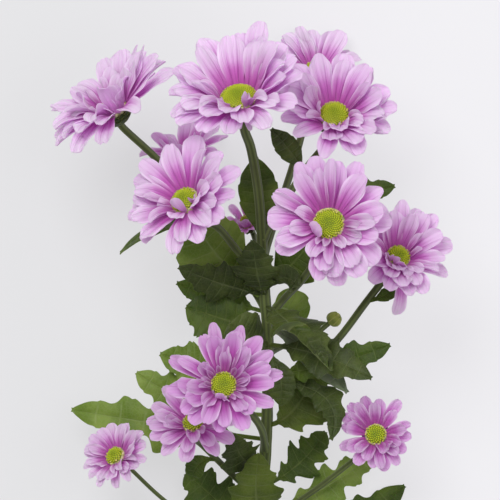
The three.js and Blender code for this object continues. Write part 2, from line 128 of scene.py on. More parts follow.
@dataclass(frozen=True)
class BloomPlan:
    """Where one bloom is, which way it faces and how its ray florets stand.

    Attributes:
        name: Its number in the names of the nodes.
        at: The middle of the hub's underside.
        faces: The way that the bloom looks.
        reach: How far the longest rays reach from the middle.
        disc: The radius of the disc.
        rays: How many rays each layer has, from the outermost.
        close: How far the bloom has closed, in degrees.
        lean: How far its upper side stands up over its lower, in degrees.
        pink: How deep its pink is, from 0, pale, to 1; on the deepest blooms this is partly painted shade.
    """

    name: str
    at: Point
    faces: Point
    reach: float = 0
    disc: float = 0
    rays: tuple[int, int, int] = (0, 0, 0)
    close: float = 0
    lean: float = 0
    pink: float = 0

    @property
    def axes(self) -> np.ndarray:
        """The bloom's own X, Y and Z as rows: east, its upper side and the way it faces."""
        facing = unit(np.array(self.faces, float))
        east = unit(np.cross([0.0, 1.0, 0.0], facing))
        return np.array([east, np.cross(facing, east), facing])

    @property
    def cup_depth(self) -> float:
        """How deep the green cup under the bloom is."""
        return CUP_SHARE * self.disc

    @property
    def cup_radius(self) -> float:
        """The radius of the green cup at its rim."""
        return self.disc + CUP_OVER_DISC

    def placed(self, points: np.ndarray) -> np.ndarray:
        """Points of the bloom's own frame, moved to their place from the middle of the head."""
        return np.array(self.at) + points @ self.axes

    def stem_end(self) -> list[Point]:
        """The last two points of the stem that carries the bloom."""
        below = (self.cup_depth + SHORT_NECKS.get(self.name, NECK), STEM_IN_CUP * self.cup_depth)
        return [tuple(np.array(self.at) - self.axes[2] * length) for length in below]


BLOOMS = [
    BloomPlan(*row)
    for row in (
        ("01", (-57, 58.2, 72), (-0.42, 0.78, 0.46), 30.5, 6, (12, 12, 8), 18, 10, 0.25),
        ("02", (-4.6, 62, 90), (-0.15, 0.76, 0.64), 32, 7.9, (14, 12, 4), 32, 20, 0.3),
        ("03", (-26.3, 19.5, 98), (-0.48, 0.5, 0.72), 27.5, 6, (12, 12, 5), 18, 14, 0.4),
        ("04", (35.3, 55.6, 68), (0.05, 0.56, 0.83), 28.5, 6.2, (14, 12, 5), 32, 10, 0.35),
        ("05", (28.4, 74.5, 13.95), (0.2, 0.72, 0.66), 23, 5.6, (12, 10, 5), 10, 12, 0.2),
        ("06", (33, 10.4, 107), (-0.12, 0.22, 0.97), 27.8, 6.6, (14, 12, 6), 14, 8, 0.5),
        ("07", (61.7, -3.9, 72), (0.3, 0.5, 0.81), 24.5, 4.9, (12, 12, 4), 32, 10, 0.42),
        ("08", (-11, -56.8, 94), (0, 0.22, 0.98), 25, 5.4, (12, 11, 8), 22, 2, 0.95),
        ("09", (-24, -74, 64), (-0.05, 0.5, 0.86), 20.5, 4.2, (12, 10, 4), 14, 6, 0.65),
        ("10", (-55.9, -88.2, 44), (-0.5, 0.45, 0.74), 16.5, 3.9, (14, 11, 0), 16, 4, 0.4),
        ("11", (53.4, -78.4, 50), (-0.1, 0.2, 0.97), 17, 4.3, (14, 11, 0), 18, 4, 0.85),
        ("12", (-28.3, 39.5, 16.1), (-0.3, 0.85, 0.4), 21, 4.2, (12, 8, 5), 12, 12, 0.6),
        ("13", (-1, 10.8, 17), (-0.3, 0.55, 0.78), 11, 2.6, (10, 0, 0), 52, 0, 0.8),
    )
]
TOP_BLOOM = "02"

STEM_RADIUS = 2.5
STEM_TOP_RADIUS = 1.9
STEM_REST = STEM_RADIUS * math.cos(math.pi / 8)
STEM_LINE = [
    (10, -194, STEM_REST), (9, -166, STEM_REST), (8, -140, 5), (7, -118, 12), (6, -98, 22),
    (7, -76, 32), (7.5, -56, 40), (7.5, -36, 46), (6, -16, 50), (5, 4, 55), (3.5, 24, 62),
    (0.5, 42, 72),
]
BRANCH_RADIUS = 1.6
SLENDER = {"09": 0.85, "10": 0.55, "11": 0.72, "12": 0.85, "13": 0.75, "bud": 0.6875}
# For each side stem, where it leaves the main one, as a count along its points, and the points that it passes
BRANCHES = {
    "01": (7.9, [(-9, 8, 43), (-25, 24, 47), (-41, 40, 57)]),
    "03": (8.3, [(-3, -3, 62), (-13, 9, 77)]),
    "04": (9, [(13, 18, 53), (24, 35, 52)]),
    "05": (8.6, [(12, 17, 36), (20, 42, 15)]),
    "06": (7.3, [(14, -21, 54), (23, -11, 72)]),
    "07": (5.8, [(20, -50, 41), (35, -40, 45), (49, -22, 52)]),
    "08": (4.6, [(4, -74, 48), (-6, -62, 64)]),
    "09": (3.5, [(-6, -97, 27), (-20, -83, 41)]),
    "10": (2.2, [(-14, -123, 11), (-36, -107, 21)]),
    "11": (2.8, [(16, -111, 16), (32, -99, 20), (47, -87, 26)]),
    "12": (7.5, [(-5, -7, 33), (-15, 12, 14)]),
    "13": (7.7, [(4, -6, 34)]),
    "bud": (6.6, [(16, -40, 34), (27, -36, 30)]),
}
BUD = BloomPlan("bud", (33.4, -31.2, 30), (0.75, 0.6, 0.2))
BUD_RADIUS = 2.9


class Cut(Enum):
    """The outlines that a leaf can have: share of the length, and half the width as a share of the widest."""

    LOBED = (
        (0, 0.07), (0.14, 0.07), (0.18, 0.12), (0.205, 0.28), (0.23, 0.46), (0.25, 0.56),
        (0.268, 0.55), (0.277, 0.49), (0.3, 0.38), (0.33, 0.34), (0.36, 0.44), (0.39, 0.66),
        (0.42, 0.84), (0.436, 0.88), (0.445, 0.84), (0.47, 0.96), (0.49, 1), (0.508, 0.98),
        (0.518, 0.9), (0.545, 0.66), (0.57, 0.5), (0.59, 0.46), (0.615, 0.54), (0.64, 0.69),
        (0.656, 0.73), (0.665, 0.69), (0.69, 0.76), (0.708, 0.77), (0.722, 0.7), (0.748, 0.54),
        (0.77, 0.46), (0.79, 0.43), (0.82, 0.47), (0.842, 0.48), (0.852, 0.43), (0.88, 0.41),
        (0.91, 0.35), (0.94, 0.26), (0.975, 0.14), (1, 0.03),
    )
    BROAD = (
        (0, 0.07), (0.14, 0.07), (0.185, 0.16), (0.22, 0.4), (0.25, 0.58), (0.268, 0.62),
        (0.278, 0.58), (0.31, 0.52), (0.34, 0.52), (0.37, 0.62), (0.405, 0.81), (0.432, 0.9),
        (0.444, 0.87), (0.475, 0.95), (0.5, 1), (0.516, 0.98), (0.526, 0.91), (0.555, 0.74),
        (0.585, 0.64), (0.61, 0.63), (0.64, 0.7), (0.66, 0.74), (0.67, 0.69), (0.692, 0.72),
        (0.706, 0.7), (0.718, 0.63), (0.745, 0.53), (0.77, 0.47), (0.8, 0.45), (0.826, 0.46),
        (0.838, 0.41), (0.87, 0.37), (0.91, 0.28), (0.96, 0.15), (1, 0.03),
    )
    PLAIN = (
        (0, 0.14), (0.14, 0.2), (0.26, 0.55), (0.38, 0.86), (0.46, 0.99), (0.47, 0.93), (0.58, 1),
        (0.66, 0.98), (0.672, 0.9), (0.76, 0.82), (0.84, 0.62), (0.93, 0.34), (1, 0.02),
    )


class LeafTone(Enum):
    """How a leaf is coloured: its upper face where it is dark and where it is light, and its underside. The
    deep tone is partly painted shade and the bright one partly painted light.
    """

    # Partly painted shade: the leaves among the blooms are painted darker than their own green.
    DEEP = (paint(49, 61, 22), paint(80, 94, 38), paint(108, 120, 76))
    GREEN = (paint(56, 76, 16), paint(88, 108, 32), paint(112, 126, 68))
    # Partly painted light: these leaves are painted lighter, as if lit through.
    BRIGHT = (paint(96, 120, 36), paint(132, 152, 68), paint(148, 162, 104))
    OLIVE = (paint(68, 84, 18), paint(96, 112, 38), paint(120, 130, 76))
    GREY = (paint(98, 110, 82), paint(122, 134, 104), paint(126, 138, 108))


@dataclass(frozen=True)
class LeafPlan:
    """One leaf.

    Attributes:
        leaves: Where it leaves its stem, as a count along the stem's points.
        via: The point that its midrib arches towards.
        tip: Its tip.
        width: Its widest part.
        cut: Its outline.
        tone: Its colour, the deep tone partly painted shade and the bright one partly painted light.
        faces: The way that its upper face looks.
        on: The stem that it grows from.
    """

    leaves: float
    via: Point
    tip: Point
    width: float
    cut: Cut
    tone: LeafTone
    faces: Point = (0, 0, 1)
    on: str = "main"


DEEP, GREEN, BRIGHT, OLIVE, GREY = LeafTone
LOBED, BROAD, PLAIN = Cut
LEAVES = [
    LeafPlan(*row)
    for row in (
        (1.2, (-38, 16, 61), (-55, -1, 46), 9, PLAIN, GREEN, (-0.5, 0.7, 0.5), "01"),
        (7.9, (-13, -8, 50), (-25, 15, 57), 31, PLAIN, BRIGHT, (-0.1, -0.3, 0.95)),
        (8.9, (4, 18, 47), (2.5, 39, 52), 17, PLAIN, GREEN, (0, -0.2, 1)),
        (1.9, (19, 40, 60), (9, 51, 70), 10, PLAIN, DEEP, (0.2, -0.4, 0.9), "04"),
        (1.2, (38, 22, 56), (61, 27, 52), 17, LOBED, GREEN, (0, 0, 1), "04"),
        (7.9, (-10, -16, 57), (-30, -7, 62), 20, BROAD, DEEP, (0, -0.4, 0.9)),
        (7.1, (-10, -30, 50), (-27, -24, 48), 30, BROAD, GREEN, (0, 0.1, 1)),
        (6.1, (-16, -52, 44), (-38, -44, 46), 26, BROAD, BRIGHT, (0, 0.1, 1)),
        (4.8, (-34, -75, 34), (-76, -68, 20), 25, LOBED, BRIGHT),
        (6.2, (32, -51, 60), (59, -40, 60), 19, LOBED, GREEN),
        (6.8, (30, -42, 72), (51, -54, 72), 20, BROAD, DEEP, (0.1, 0.3, 0.9)),
        (6.05, (42, -58, 54), (34, -80, 56), 15, BROAD, DEEP, (0.4, 0.2, 0.9)),
        (7.6, (16, -28, 68), (34, -51, 86), 26, BROAD, DEEP, (0.3, 0.3, 0.9)),
        (7.4, (16, -20, 40), (21, -32, 32), 19, PLAIN, BRIGHT),
        (8.1, (18, -8, 56), (27, 6, 60), 25, PLAIN, GREEN, (-0.3, 0, 0.95)),
        (7.9, (3, -14, 64), (1, 4, 68), 22, BROAD, DEEP, (-0.2, -0.5, 0.8)),
        (5.1, (20, -72, 37), (29, -49, 34), 30, BROAD, OLIVE),
        (3.9, (22, -93, 18), (32, -78, 8), 20, LOBED, GREEN),
        (4.4, (-4, -94, 40), (-7, -78, 46), 20, BROAD, DEEP, (0, -0.3, 1)),
        (2.6, (-16, -104, 20), (-27, -96, 6), 24, LOBED, GREEN),
        (1.9, (-20, -134, 12), (-51, -114, 1), 24, LOBED, GREEN),
        (3.2, (36, -100, 15), (53, -88, 4), 18, LOBED, BRIGHT),
        (2.4, (34, -126, 16), (66, -101, 1), 24, LOBED, GREEN),
        (6.6, (15, -52, 54), (13, -66, 48), 12, PLAIN, DEEP),
        (1.6, (-23, -88, 42), (-25, -98, 36), 9, PLAIN, GREEN, (0, 0, 1), "09"),
        (7.1, (22, -36, 54), (41, -60, 62), 12, PLAIN, GREY),
        (8, (14, -7.5, 66), (20, -15, 75), 12, PLAIN, DEEP, (0.2, -0.2, 1)),
        (6.8, (2, -40, 60), (-9, -31, 66), 22, PLAIN, DEEP),
        (7.5, (-10, -22, 36), (-31, -14, 34), 20, BROAD, GREEN),
        (3.1, (57, -20, 56), (62.5, -15, 60), 6, PLAIN, GREEN, (0, 0, 1), "07"),
        (5.3, (-26, -68, 44), (-48, -52, 40), 22, LOBED, BRIGHT),
        (2.7, (0, -104, 36), (4, -86, 44), 24, BROAD, OLIVE, (0, -0.4, 0.9)),
    )
]


class Line:
    """A smooth line through points, read by a count along them: 1.5 is half way from second to third."""

    def __init__(self, points: list[Point]) -> None:
        """Keeps the points that the line passes through, with one more beyond each end."""
        points = np.array(points, float)
        self.spans = len(points) - 1
        before, after = 2 * points[0] - points[1], 2 * points[-1] - points[-2]
        self.points = np.vstack([before, points, after])

    def at(self, count: float) -> np.ndarray:
        """The point at a count along the line."""
        first = min(int(count), self.spans - 1)
        before, start, end, after = self.points[first : first + 4]
        t = count - first
        leave, arrive = (end - before) / 2, (after - start) / 2
        bend = -3 * start + 3 * end - 2 * leave - arrive
        turn = 2 * start - 2 * end + leave + arrive
        return start + leave * t + bend * t**2 + turn * t**3

    def along(self, count: float, step: float = 1e-3) -> np.ndarray:
        """The way that the line runs at a count along it."""
        return unit(self.at(min(count + step, self.spans)) - self.at(max(count - step, 0)))


# Shader maths


def sum_of(operation: str, turned: bool = False) -> Callable[..., "Field"]:
    """Makes a method that works a sum out with a Math node.

    Args:
        operation: What the node works out.
        turned: Whether the value that the method belongs to comes last, as the mask does in 1 - mask.

    Returns:
        The method.
    """

    def method(value: "Field", *others: "Field | float") -> "Field":
        """The result of the sum."""
        values = (*others, value) if turned else (value, *others)
        return value.board.node("ShaderNodeMath", {"operation": operation}, dict(enumerate(values)))

    return method


class Field:
    """One output of a shader node, which takes part in sums as a number does."""

    __add__ = __radd__ = sum_of("ADD")
    __sub__ = sum_of("SUBTRACT")
    __rsub__ = sum_of("SUBTRACT", turned=True)
    __mul__ = __rmul__ = sum_of("MULTIPLY")
    __pow__ = sum_of("POWER")
    __abs__ = sum_of("ABSOLUTE")
    fraction = sum_of("FRACT")
    highest = sum_of("MAXIMUM")

    def __init__(self, board: "Board", socket: NodeSocket) -> None:
        """Keeps the output, and the board that further nodes are added to."""
        self.board = board
        self.socket = socket

    def smooth(self, low: float, high: float) -> "Field":
        """A soft step.

        Args:
            low: Where the step is 0.
            high: Where it is 1, which may be below low.

        Returns:
            The step.
        """
        ends = {"From Min": min(low, high), "From Max": max(low, high), "Value": self}
        step = self.board.node("ShaderNodeMapRange", {"interpolation_type": "SMOOTHSTEP"}, ends)
        return 1 - step if high < low else step

    def blend(self, first: "Field | Colour", second: "Field | Colour") -> "Field":
        """Mixes two colours: the first where this is 0, the second where it is 1."""
        colours = {0: self, 6: first, 7: second}
        return self.board.node("ShaderNodeMix", {"data_type": "RGBA"}, colours, 2)


class Board:
    """A material with its nodes, and the one way in which nodes are added to it."""

    def __init__(self, name: str, **settings: float | Colour | Point) -> None:
        """Makes the material and sets what is the same all over it.

        Args:
            name: The material's name.
            settings: Values for the shader's sockets, with underscores for the spaces in their names.
        """
        self.material = bpy.data.materials.new(name)
        self.material.use_nodes = True
        self.tree = self.material.node_tree
        self.shader = self.tree.nodes["Principled BSDF"]
        for socket, value in settings.items():
            socket = socket.replace("_", " ").title().replace("Ior", "IOR")
            self.shader.inputs[socket].default_value = value

    def node(
        self, kind: str, settings: dict[str, str], values: dict[str | int, object], output: str | int = 0
    ) -> Field:
        """Adds a node.

        Args:
            kind: Its type.
            settings: What it is set to first, such as a Math node's operation.
            values: The value or link of each of its sockets, by name or number.
            output: Which of its outputs is wanted.

        Returns:
            That output.
        """
        node = self.tree.nodes.new(kind)
        for name, value in settings.items():
            setattr(node, name, value)
        for socket, value in values.items():
            if isinstance(value, Field):
                self.tree.links.new(value.socket, node.inputs[socket])
            else:
                node.inputs[socket].default_value = value
        return Field(self, node.outputs[output])

    def feed(self, socket: str, value: Field) -> None:
        """Links what varies over the surface to one socket of the shader."""
        self.tree.links.new(value.socket, self.shader.inputs[socket])

    def attribute(self, name: str) -> Field:
        """A number that the mesh carries at its points."""
        return self.node("ShaderNodeAttribute", {"attribute_name": name}, {}, "Fac")

    def place(self) -> Field:
        """Where a point is on the object."""
        return self.node("ShaderNodeTexCoord", {}, {}, "Object")

    def skin(self) -> tuple[Field, Field, Field]:
        """Reads the blade's own map.

        Returns:
            The map itself, the way across it from -1 to 1, and the way along it from 0 to 1.
        """
        spread = self.node("ShaderNodeUVMap", {"uv_map": UV_NAME}, {})
        parts = self.node("ShaderNodeSeparateXYZ", {}, {0: spread}).socket.node.outputs
        return spread, Field(self, parts[0]) * 2 - 1, Field(self, parts[1])

    def stretched(self, where: Field, scale: Point) -> Field:
        """Coordinates in which a pattern is finer along each axis by its scale."""
        return self.node("ShaderNodeVectorMath", {"operation": "MULTIPLY"}, {0: where, 1: scale})

    def noise(self, where: Field, scale: float, detail: float = 2) -> Field:
        """Soft noise from about 0 to 1, by its waves to each unit and how many finer layers it has."""
        return self.node("ShaderNodeTexNoise", {}, {"Vector": where, "Scale": scale, "Detail": detail})

    def cells(self, where: Field, scale: float) -> Field:
        """How far a point is from the walls of a net of cells, by how many there are to each unit."""
        settings = {"feature": "DISTANCE_TO_EDGE"}
        return self.node("ShaderNodeTexVoronoi", settings, {"Vector": where, "Scale": scale})

    def finished(
        self, colour: Field, roughness: Field, height: Field, depth: float, strength: float
    ) -> Material:
        """Feeds the shader what varies over the surface.

        Args:
            colour: Its colour.
            roughness: Its roughness.
            height: How far it is raised, from about 0 to 1.
            depth: How high 1 is, in metres.
            strength: How strongly that shows.

        Returns:
            The material.
        """
        relief = {"Height": height, "Distance": depth, "Strength": strength}
        self.feed("Base Color", colour)
        self.feed("Roughness", roughness)
        self.feed("Normal", self.node("ShaderNodeBump", {}, relief))
        return self.material


# Finishes


@dataclass(frozen=True)
class RayFinish:
    """The thin pink skin of the ray florets: deep at the root and pale at the tip, with fine veins, painted
    shade near the root and in the creases, painted highlights on the edges and a faint painted glow.
    """

    root: Colour = paint(182, 68, 164)
    middle: Colour = paint(222, 134, 216)
    tip: Colour = paint(246, 222, 252)
    # Deep colours for the deeper blooms: partly their own deeper pink, partly painted shade.
    deep_and_shaded_middle: Colour = paint(168, 66, 162)
    deep_and_shaded_tip: Colour = paint(216, 164, 222)
    back: Colour = paint(220, 172, 230)
    vein: Colour = paint(160, 50, 152)
    # A faint pink painted glow, standing in for light that shines through the thin florets and lifts their
    # shade.
    through: Colour = paint(214, 96, 204)
    painted_glow: float = 0.07

    def make(self) -> Material:
        """Builds the material."""
        board = Board(
            "ray_pink",
            roughness=0.55,
            sheen_weight=0.15,
            sheen_roughness=0.5,
            subsurface_weight=0.4,
            subsurface_radius=(1.0, 0.4, 0.95),
            subsurface_scale=0.003,
            emission_color=self.through,
            emission_strength=self.painted_glow,
        )
        skin, across, along = board.skin()
        tone, pink, upper = (board.attribute(name) for name in ("tone", "pink", "upper"))
        cloud = board.noise(board.place(), 90)
        middle = pink.blend(self.middle, self.deep_and_shaded_middle)
        tip = pink.blend(self.tip, self.deep_and_shaded_tip)
        reach = along + 0.25 * (cloud - 0.5) + 0.16 * (tone - 0.5) - 0.14 * pink
        colour = reach.smooth(0.2, 0.85).blend(middle, tip)
        # The deep root colour is the florets' own, reaching further out as painted shade near the disc.
        colour = (reach.smooth(0.58, -0.05) * 0.92).blend(colour, self.root)
        lines = board.noise(board.stretched(skin, (34, 0.8, 1)), 1, 3)
        fine = board.noise(board.stretched(skin, (90, 1.6, 1)), 1)
        # Painted shade: the vein colour is laid into the two lengthwise creases as well as along the fine
        # veins.
        crease_shade = abs(abs(across) - 0.4).smooth(0.09, 0)
        rib = lines.smooth(0.5, 0.66) * 0.55 + crease_shade * 0.5 + fine.smooth(0.5, 0.7) * 0.3
        colour = (rib * along.smooth(1.1, 0.3)).blend(colour, self.vein)
        # Painted highlight: the pale tip colour is laid along each edge.
        colour = (abs(across) ** 5 * 0.7 * along.smooth(0.1, 0.5)).blend(colour, self.tip)
        colour = ((1 - upper) * 0.55).blend(colour, self.back)
        return board.finished(colour, 0.5 + 0.2 * lines, 1 - rib, 0.00035, 0.8)


@dataclass(frozen=True)
class DiscFinish:
    """The lime green disc florets: yellower and paler at the rim, with painted shade low on each floret and on
    the dome in the gaps between them.
    """

    heart: Colour = paint(150, 170, 22)
    lime: Colour = paint(184, 198, 36)
    rim: Colour = paint(226, 218, 124)
    gap: Colour = paint(98, 112, 12)

    def make(self) -> Material:
        """Builds the material."""
        board = Board(
            "disc_lime",
            roughness=0.6,
            subsurface_weight=0.15,
            subsurface_radius=(0.9, 1.0, 0.3),
            subsurface_scale=0.001,
        )
        height, outward, tone = (board.attribute(name) for name in ("upper", "along", "tone"))
        colour = (outward + 0.3 * (tone - 0.5)).smooth(0.1, 0.75).blend(self.heart, self.lime)
        colour = (outward + 0.25 * (tone - 0.5)).smooth(0.9, 1.02).blend(colour, self.rim)
        # Painted shade: the dark gap colour lies low on each floret and on the dome between them.
        colour = height.smooth(0.8, 0.15).blend(colour, self.gap)
        grain = board.noise(board.place(), 2500)
        return board.finished(colour, 0.5 + 0.25 * tone, grain, 0.0001, 0.4)


@dataclass(frozen=True)
class HubFinish:
    """The pale hub under a disc, which the ray florets grow from."""

    under: Colour = paint(150, 160, 96)
    rim: Colour = paint(226, 222, 170)

    def make(self) -> Material:
        """Builds the material."""
        board = Board("hub_pale", roughness=0.6, subsurface_weight=0.1, subsurface_scale=0.001)
        cloud = board.noise(board.place(), 600)
        colour = cloud.smooth(0.3, 0.7).blend(self.under, self.rim)
        grain = board.noise(board.place(), 1800)
        return board.finished(colour, 0.5 + 0.2 * cloud, grain, 0.0002, 0.5)


@dataclass(frozen=True)
class StemFinish:
    """The ribbed green stem: paler on its ribs, with a fine down and darker patches."""

    groove: Colour = paint(60, 70, 34)
    rib: Colour = paint(106, 120, 62)
    dark: Colour = paint(58, 60, 34)
    cut: Colour = paint(206, 214, 168)

    def make(self) -> Material:
        """Builds the material."""
        board = Board("stem_green", roughness=0.5, specular_ior_level=0.3, sheen_weight=0.1)
        rib, end = board.attribute("upper"), board.attribute("along")
        place = board.place()
        patches = board.noise(board.stretched(place, (60, 22, 60)), 1, 3)
        fleck = board.noise(board.stretched(place, (1400, 220, 900)), 1)
        colour = (rib * 0.7 + 0.3 * fleck).blend(self.groove, self.rib)
        colour = (patches.smooth(0.45, 0.75) * 0.6).blend(colour, self.dark)
        colour = end.smooth(0.4, 0.6).blend(colour, self.cut)
        return board.finished(colour, 0.42 + 0.25 * fleck, fleck, 0.0002, 0.5)


@dataclass(frozen=True)
class BractFinish:
    """The small green bracts of a cup or bud, with thin pale edges."""

    name: str = "bract_green"
    root: Colour = paint(66, 80, 36)
    blade: Colour = paint(44, 58, 24)
    edge: Colour = paint(112, 120, 66)

    def make(self) -> Material:
        """Builds the material."""
        board = Board(self.name, roughness=0.55, specular_ior_level=0.3)
        skin, across, along = board.skin()
        tone = board.attribute("tone")
        lines = board.noise(board.stretched(skin, (14, 1.5, 1)), 1)
        colour = (along + 0.3 * (tone - 0.5)).smooth(0, 0.6).blend(self.root, self.blade)
        colour = (lines.smooth(0.45, 0.7) * 0.35).blend(colour, self.root)
        colour = abs(across).smooth(0.72, 1).blend(colour, self.edge)
        return board.finished(colour, 0.45 + 0.25 * lines, lines, 0.0001, 0.5)


VEINS = 8


@dataclass(frozen=True)
class LeafFinish:
    """A leaf's skin: paler veins that run forward from the midrib, a fine net, and a dull paler underside."""

    tone: LeafTone

    def make(self) -> Material:
        """Builds the material."""
        dark, light, under = self.tone.value
        board = Board(
            f"leaf_{self.tone.name.lower()}",
            roughness=0.5,
            specular_ior_level=0.25,
            subsurface_weight=0.2,
            subsurface_radius=(0.6, 1.0, 0.15),
            subsurface_scale=0.001,
        )
        _, across, along = board.skin()
        side, place = abs(across), board.place()
        midrib = (side + 0.06 * along).smooth(0.11, 0.03)
        beat = abs((along * VEINS + 0.5 + 0.25 * side).fraction() - 0.5)
        vein = midrib.highest(beat.smooth(0.075, 0.01) * side.smooth(0.95, 0.6) * 0.7)
        net = board.cells(place, 620).smooth(0.12, 0.02)
        cloud = board.noise(board.stretched(place, (70, 70, 70)), 1, 3)
        below = board.attribute("upper").smooth(0.6, 0.4)
        colour = cloud.smooth(0.35, 0.7).blend(dark, light)
        colour = (vein * 0.5).highest(net * 0.14).blend(colour, under)
        colour = (below * 0.8).blend(colour, under)
        puffed = beat.smooth(0, 0.4) * side.smooth(0, 0.3)
        relief = puffed * 0.6 - vein * 0.5 - net * 0.1
        return board.finished(colour, 0.42 + 0.2 * cloud + 0.2 * below, relief, 0.0006, 0.7)


@dataclass(frozen=True)
class TableFinish:
    """The plain pale surface that the spray lies on, which glows a little as a light table does; the glow is
    painted light that fades the spray's shadows on it and is brighter towards the right.
    """

    colour: Colour = paint(128, 128, 130)
    fleck: Colour = paint(120, 120, 124)
    # Painted light: the colours of the glow, from the left side to the right.
    left: Colour = (0.84, 0.84, 0.85, 1.0)
    right: Colour = (0.99, 0.98, 1.01, 1.0)
    painted_glow: float = 0.66

    def make(self) -> Material:
        """Builds the material."""
        board = Board("pale_table", roughness=0.8, specular_ior_level=0.1, emission_strength=self.painted_glow)
        east = board.node("ShaderNodeSeparateXYZ", {}, {0: board.place()})
        speck = board.noise(board.place(), 300)
        board.feed("Base Color", (speck * 0.1).blend(self.colour, self.fleck))
        board.feed("Roughness", 0.75 + 0.1 * speck)
        # Painted light: the glow is brighter towards the right.
        board.feed("Emission Color", east.smooth(-0.1, 0.1).blend(self.left, self.right))
        return board.material


# Moulds: each repeated form is modelled once, at its real size, and copied from its arrays


class Bench:
    """The modelling moves that the moulds and solids share."""

    @staticmethod
    def add(name: str, data: ID) -> Object:
        """Puts a new object in the scene."""
        made = bpy.data.objects.new(name, data)
        bpy.context.scene.collection.objects.link(made)
        return made

    @staticmethod
    def take(*taken: Object) -> None:
        """Leaves edit mode and selects nothing but some objects.

        Args:
            taken: The objects, of which the first one becomes active.
        """
        if bpy.context.object and bpy.context.object.mode == "EDIT":
            bpy.ops.object.mode_set(mode="OBJECT")
        bpy.ops.object.select_all(action="DESELECT")
        for made in taken:
            made.select_set(True)
        if taken:
            bpy.context.view_layer.objects.active = taken[0]

    @staticmethod
    def edit(made: Object, picks: str = "VERT") -> None:
        """Opens an object in edit mode, with points or faces to be picked."""
        Bench.take(made)
        bpy.ops.object.mode_set(mode="EDIT")
        bpy.ops.mesh.select_mode(type=picks)

    @staticmethod
    def pick(made: Object, wanted: Callable[[bmesh.types.BMVert], bool]) -> None:
        """Selects points.

        Args:
            made: The object, in edit mode.
            wanted: Says of a point whether it is picked.
        """
        mesh = bmesh.from_edit_mesh(made.data)
        for vertex in mesh.verts:
            vertex.select_set(wanted(vertex))
        mesh.select_flush_mode()
        bmesh.update_edit_mesh(made.data, loop_triangles=False, destructive=False)

    @staticmethod
    def face_outwards() -> None:
        """Turns every face of the object in edit mode outwards."""
        bpy.ops.mesh.select_all(action="SELECT")
        bpy.ops.mesh.normals_make_consistent(inside=False)

    @staticmethod
    def carry(mesh: Mesh, name: str, values: np.ndarray) -> None:
        """Stores one number at each point of a mesh."""
        attribute = mesh.attributes.new(name, "FLOAT", "POINT")
        attribute.data.foreach_set("value", values.astype(np.float32))

    @staticmethod
    def turned(profile: list[tuple[float, float]], sides: int) -> Object:
        """Models a round solid from its lowest ring to its highest.

        Args:
            profile: The radius and height of each ring.
            sides: How many sides the rings have.

        Returns:
            The object, closed at both ends.
        """
        Bench.take()
        radius, height = profile[0]
        bpy.ops.mesh.primitive_circle_add(
            vertices=sides, radius=radius, fill_type="NGON", location=(0, 0, height)
        )
        made = bpy.context.object
        bpy.ops.object.transform_apply(location=True, rotation=False, scale=False)
        Bench.edit(made)
        bpy.ops.mesh.select_all(action="SELECT")
        for next_radius, next_height in profile[1:]:
            rise = {"value": (0, 0, next_height - height)}
            bpy.ops.mesh.extrude_region_move(TRANSFORM_OT_translate=rise)
            grow = next_radius / radius
            bpy.ops.transform.resize(value=(grow, grow, 1), center_override=(0, 0, next_height))
            radius, height = next_radius, next_height
        Bench.face_outwards()
        Bench.take(made)
        return made


@dataclass
class Mould:
    """A form that copies are made from.

    Attributes:
        points: Its points, one in each row.
        skin: The map at each point, across and along, from 0 to 1.
        upper: 1 on the upper face and 0 on the lower, or how far up a form the point is.
        faces: The points of each face.
    """

    points: np.ndarray
    skin: np.ndarray
    upper: np.ndarray
    faces: list[tuple[int, ...]]

    @classmethod
    def taken_from(cls, made: Object, blade: bool = False) -> "Mould":
        """Reads a modelled object into arrays, and removes the object.

        Args:
            made: The object.
            blade: Whether it is a thin blade with two faces.

        Returns:
            The mould.
        """
        mesh = made.data
        points = np.array([vertex.co for vertex in mesh.vertices])
        skin = np.zeros((len(points), 2))
        for loop, mapped in zip(mesh.loops, mesh.uv_layers[0].data):
            skin[loop.vertex_index] = mapped.uv
        rise = np.array([vertex.normal.z > 0 for vertex in mesh.vertices], float) if blade else points[:, 2]
        upper = (rise - rise.min()) / np.ptp(rise)
        faces = [tuple(polygon.vertices) for polygon in mesh.polygons]
        bpy.data.objects.remove(made)
        return cls(points, skin, upper, faces)


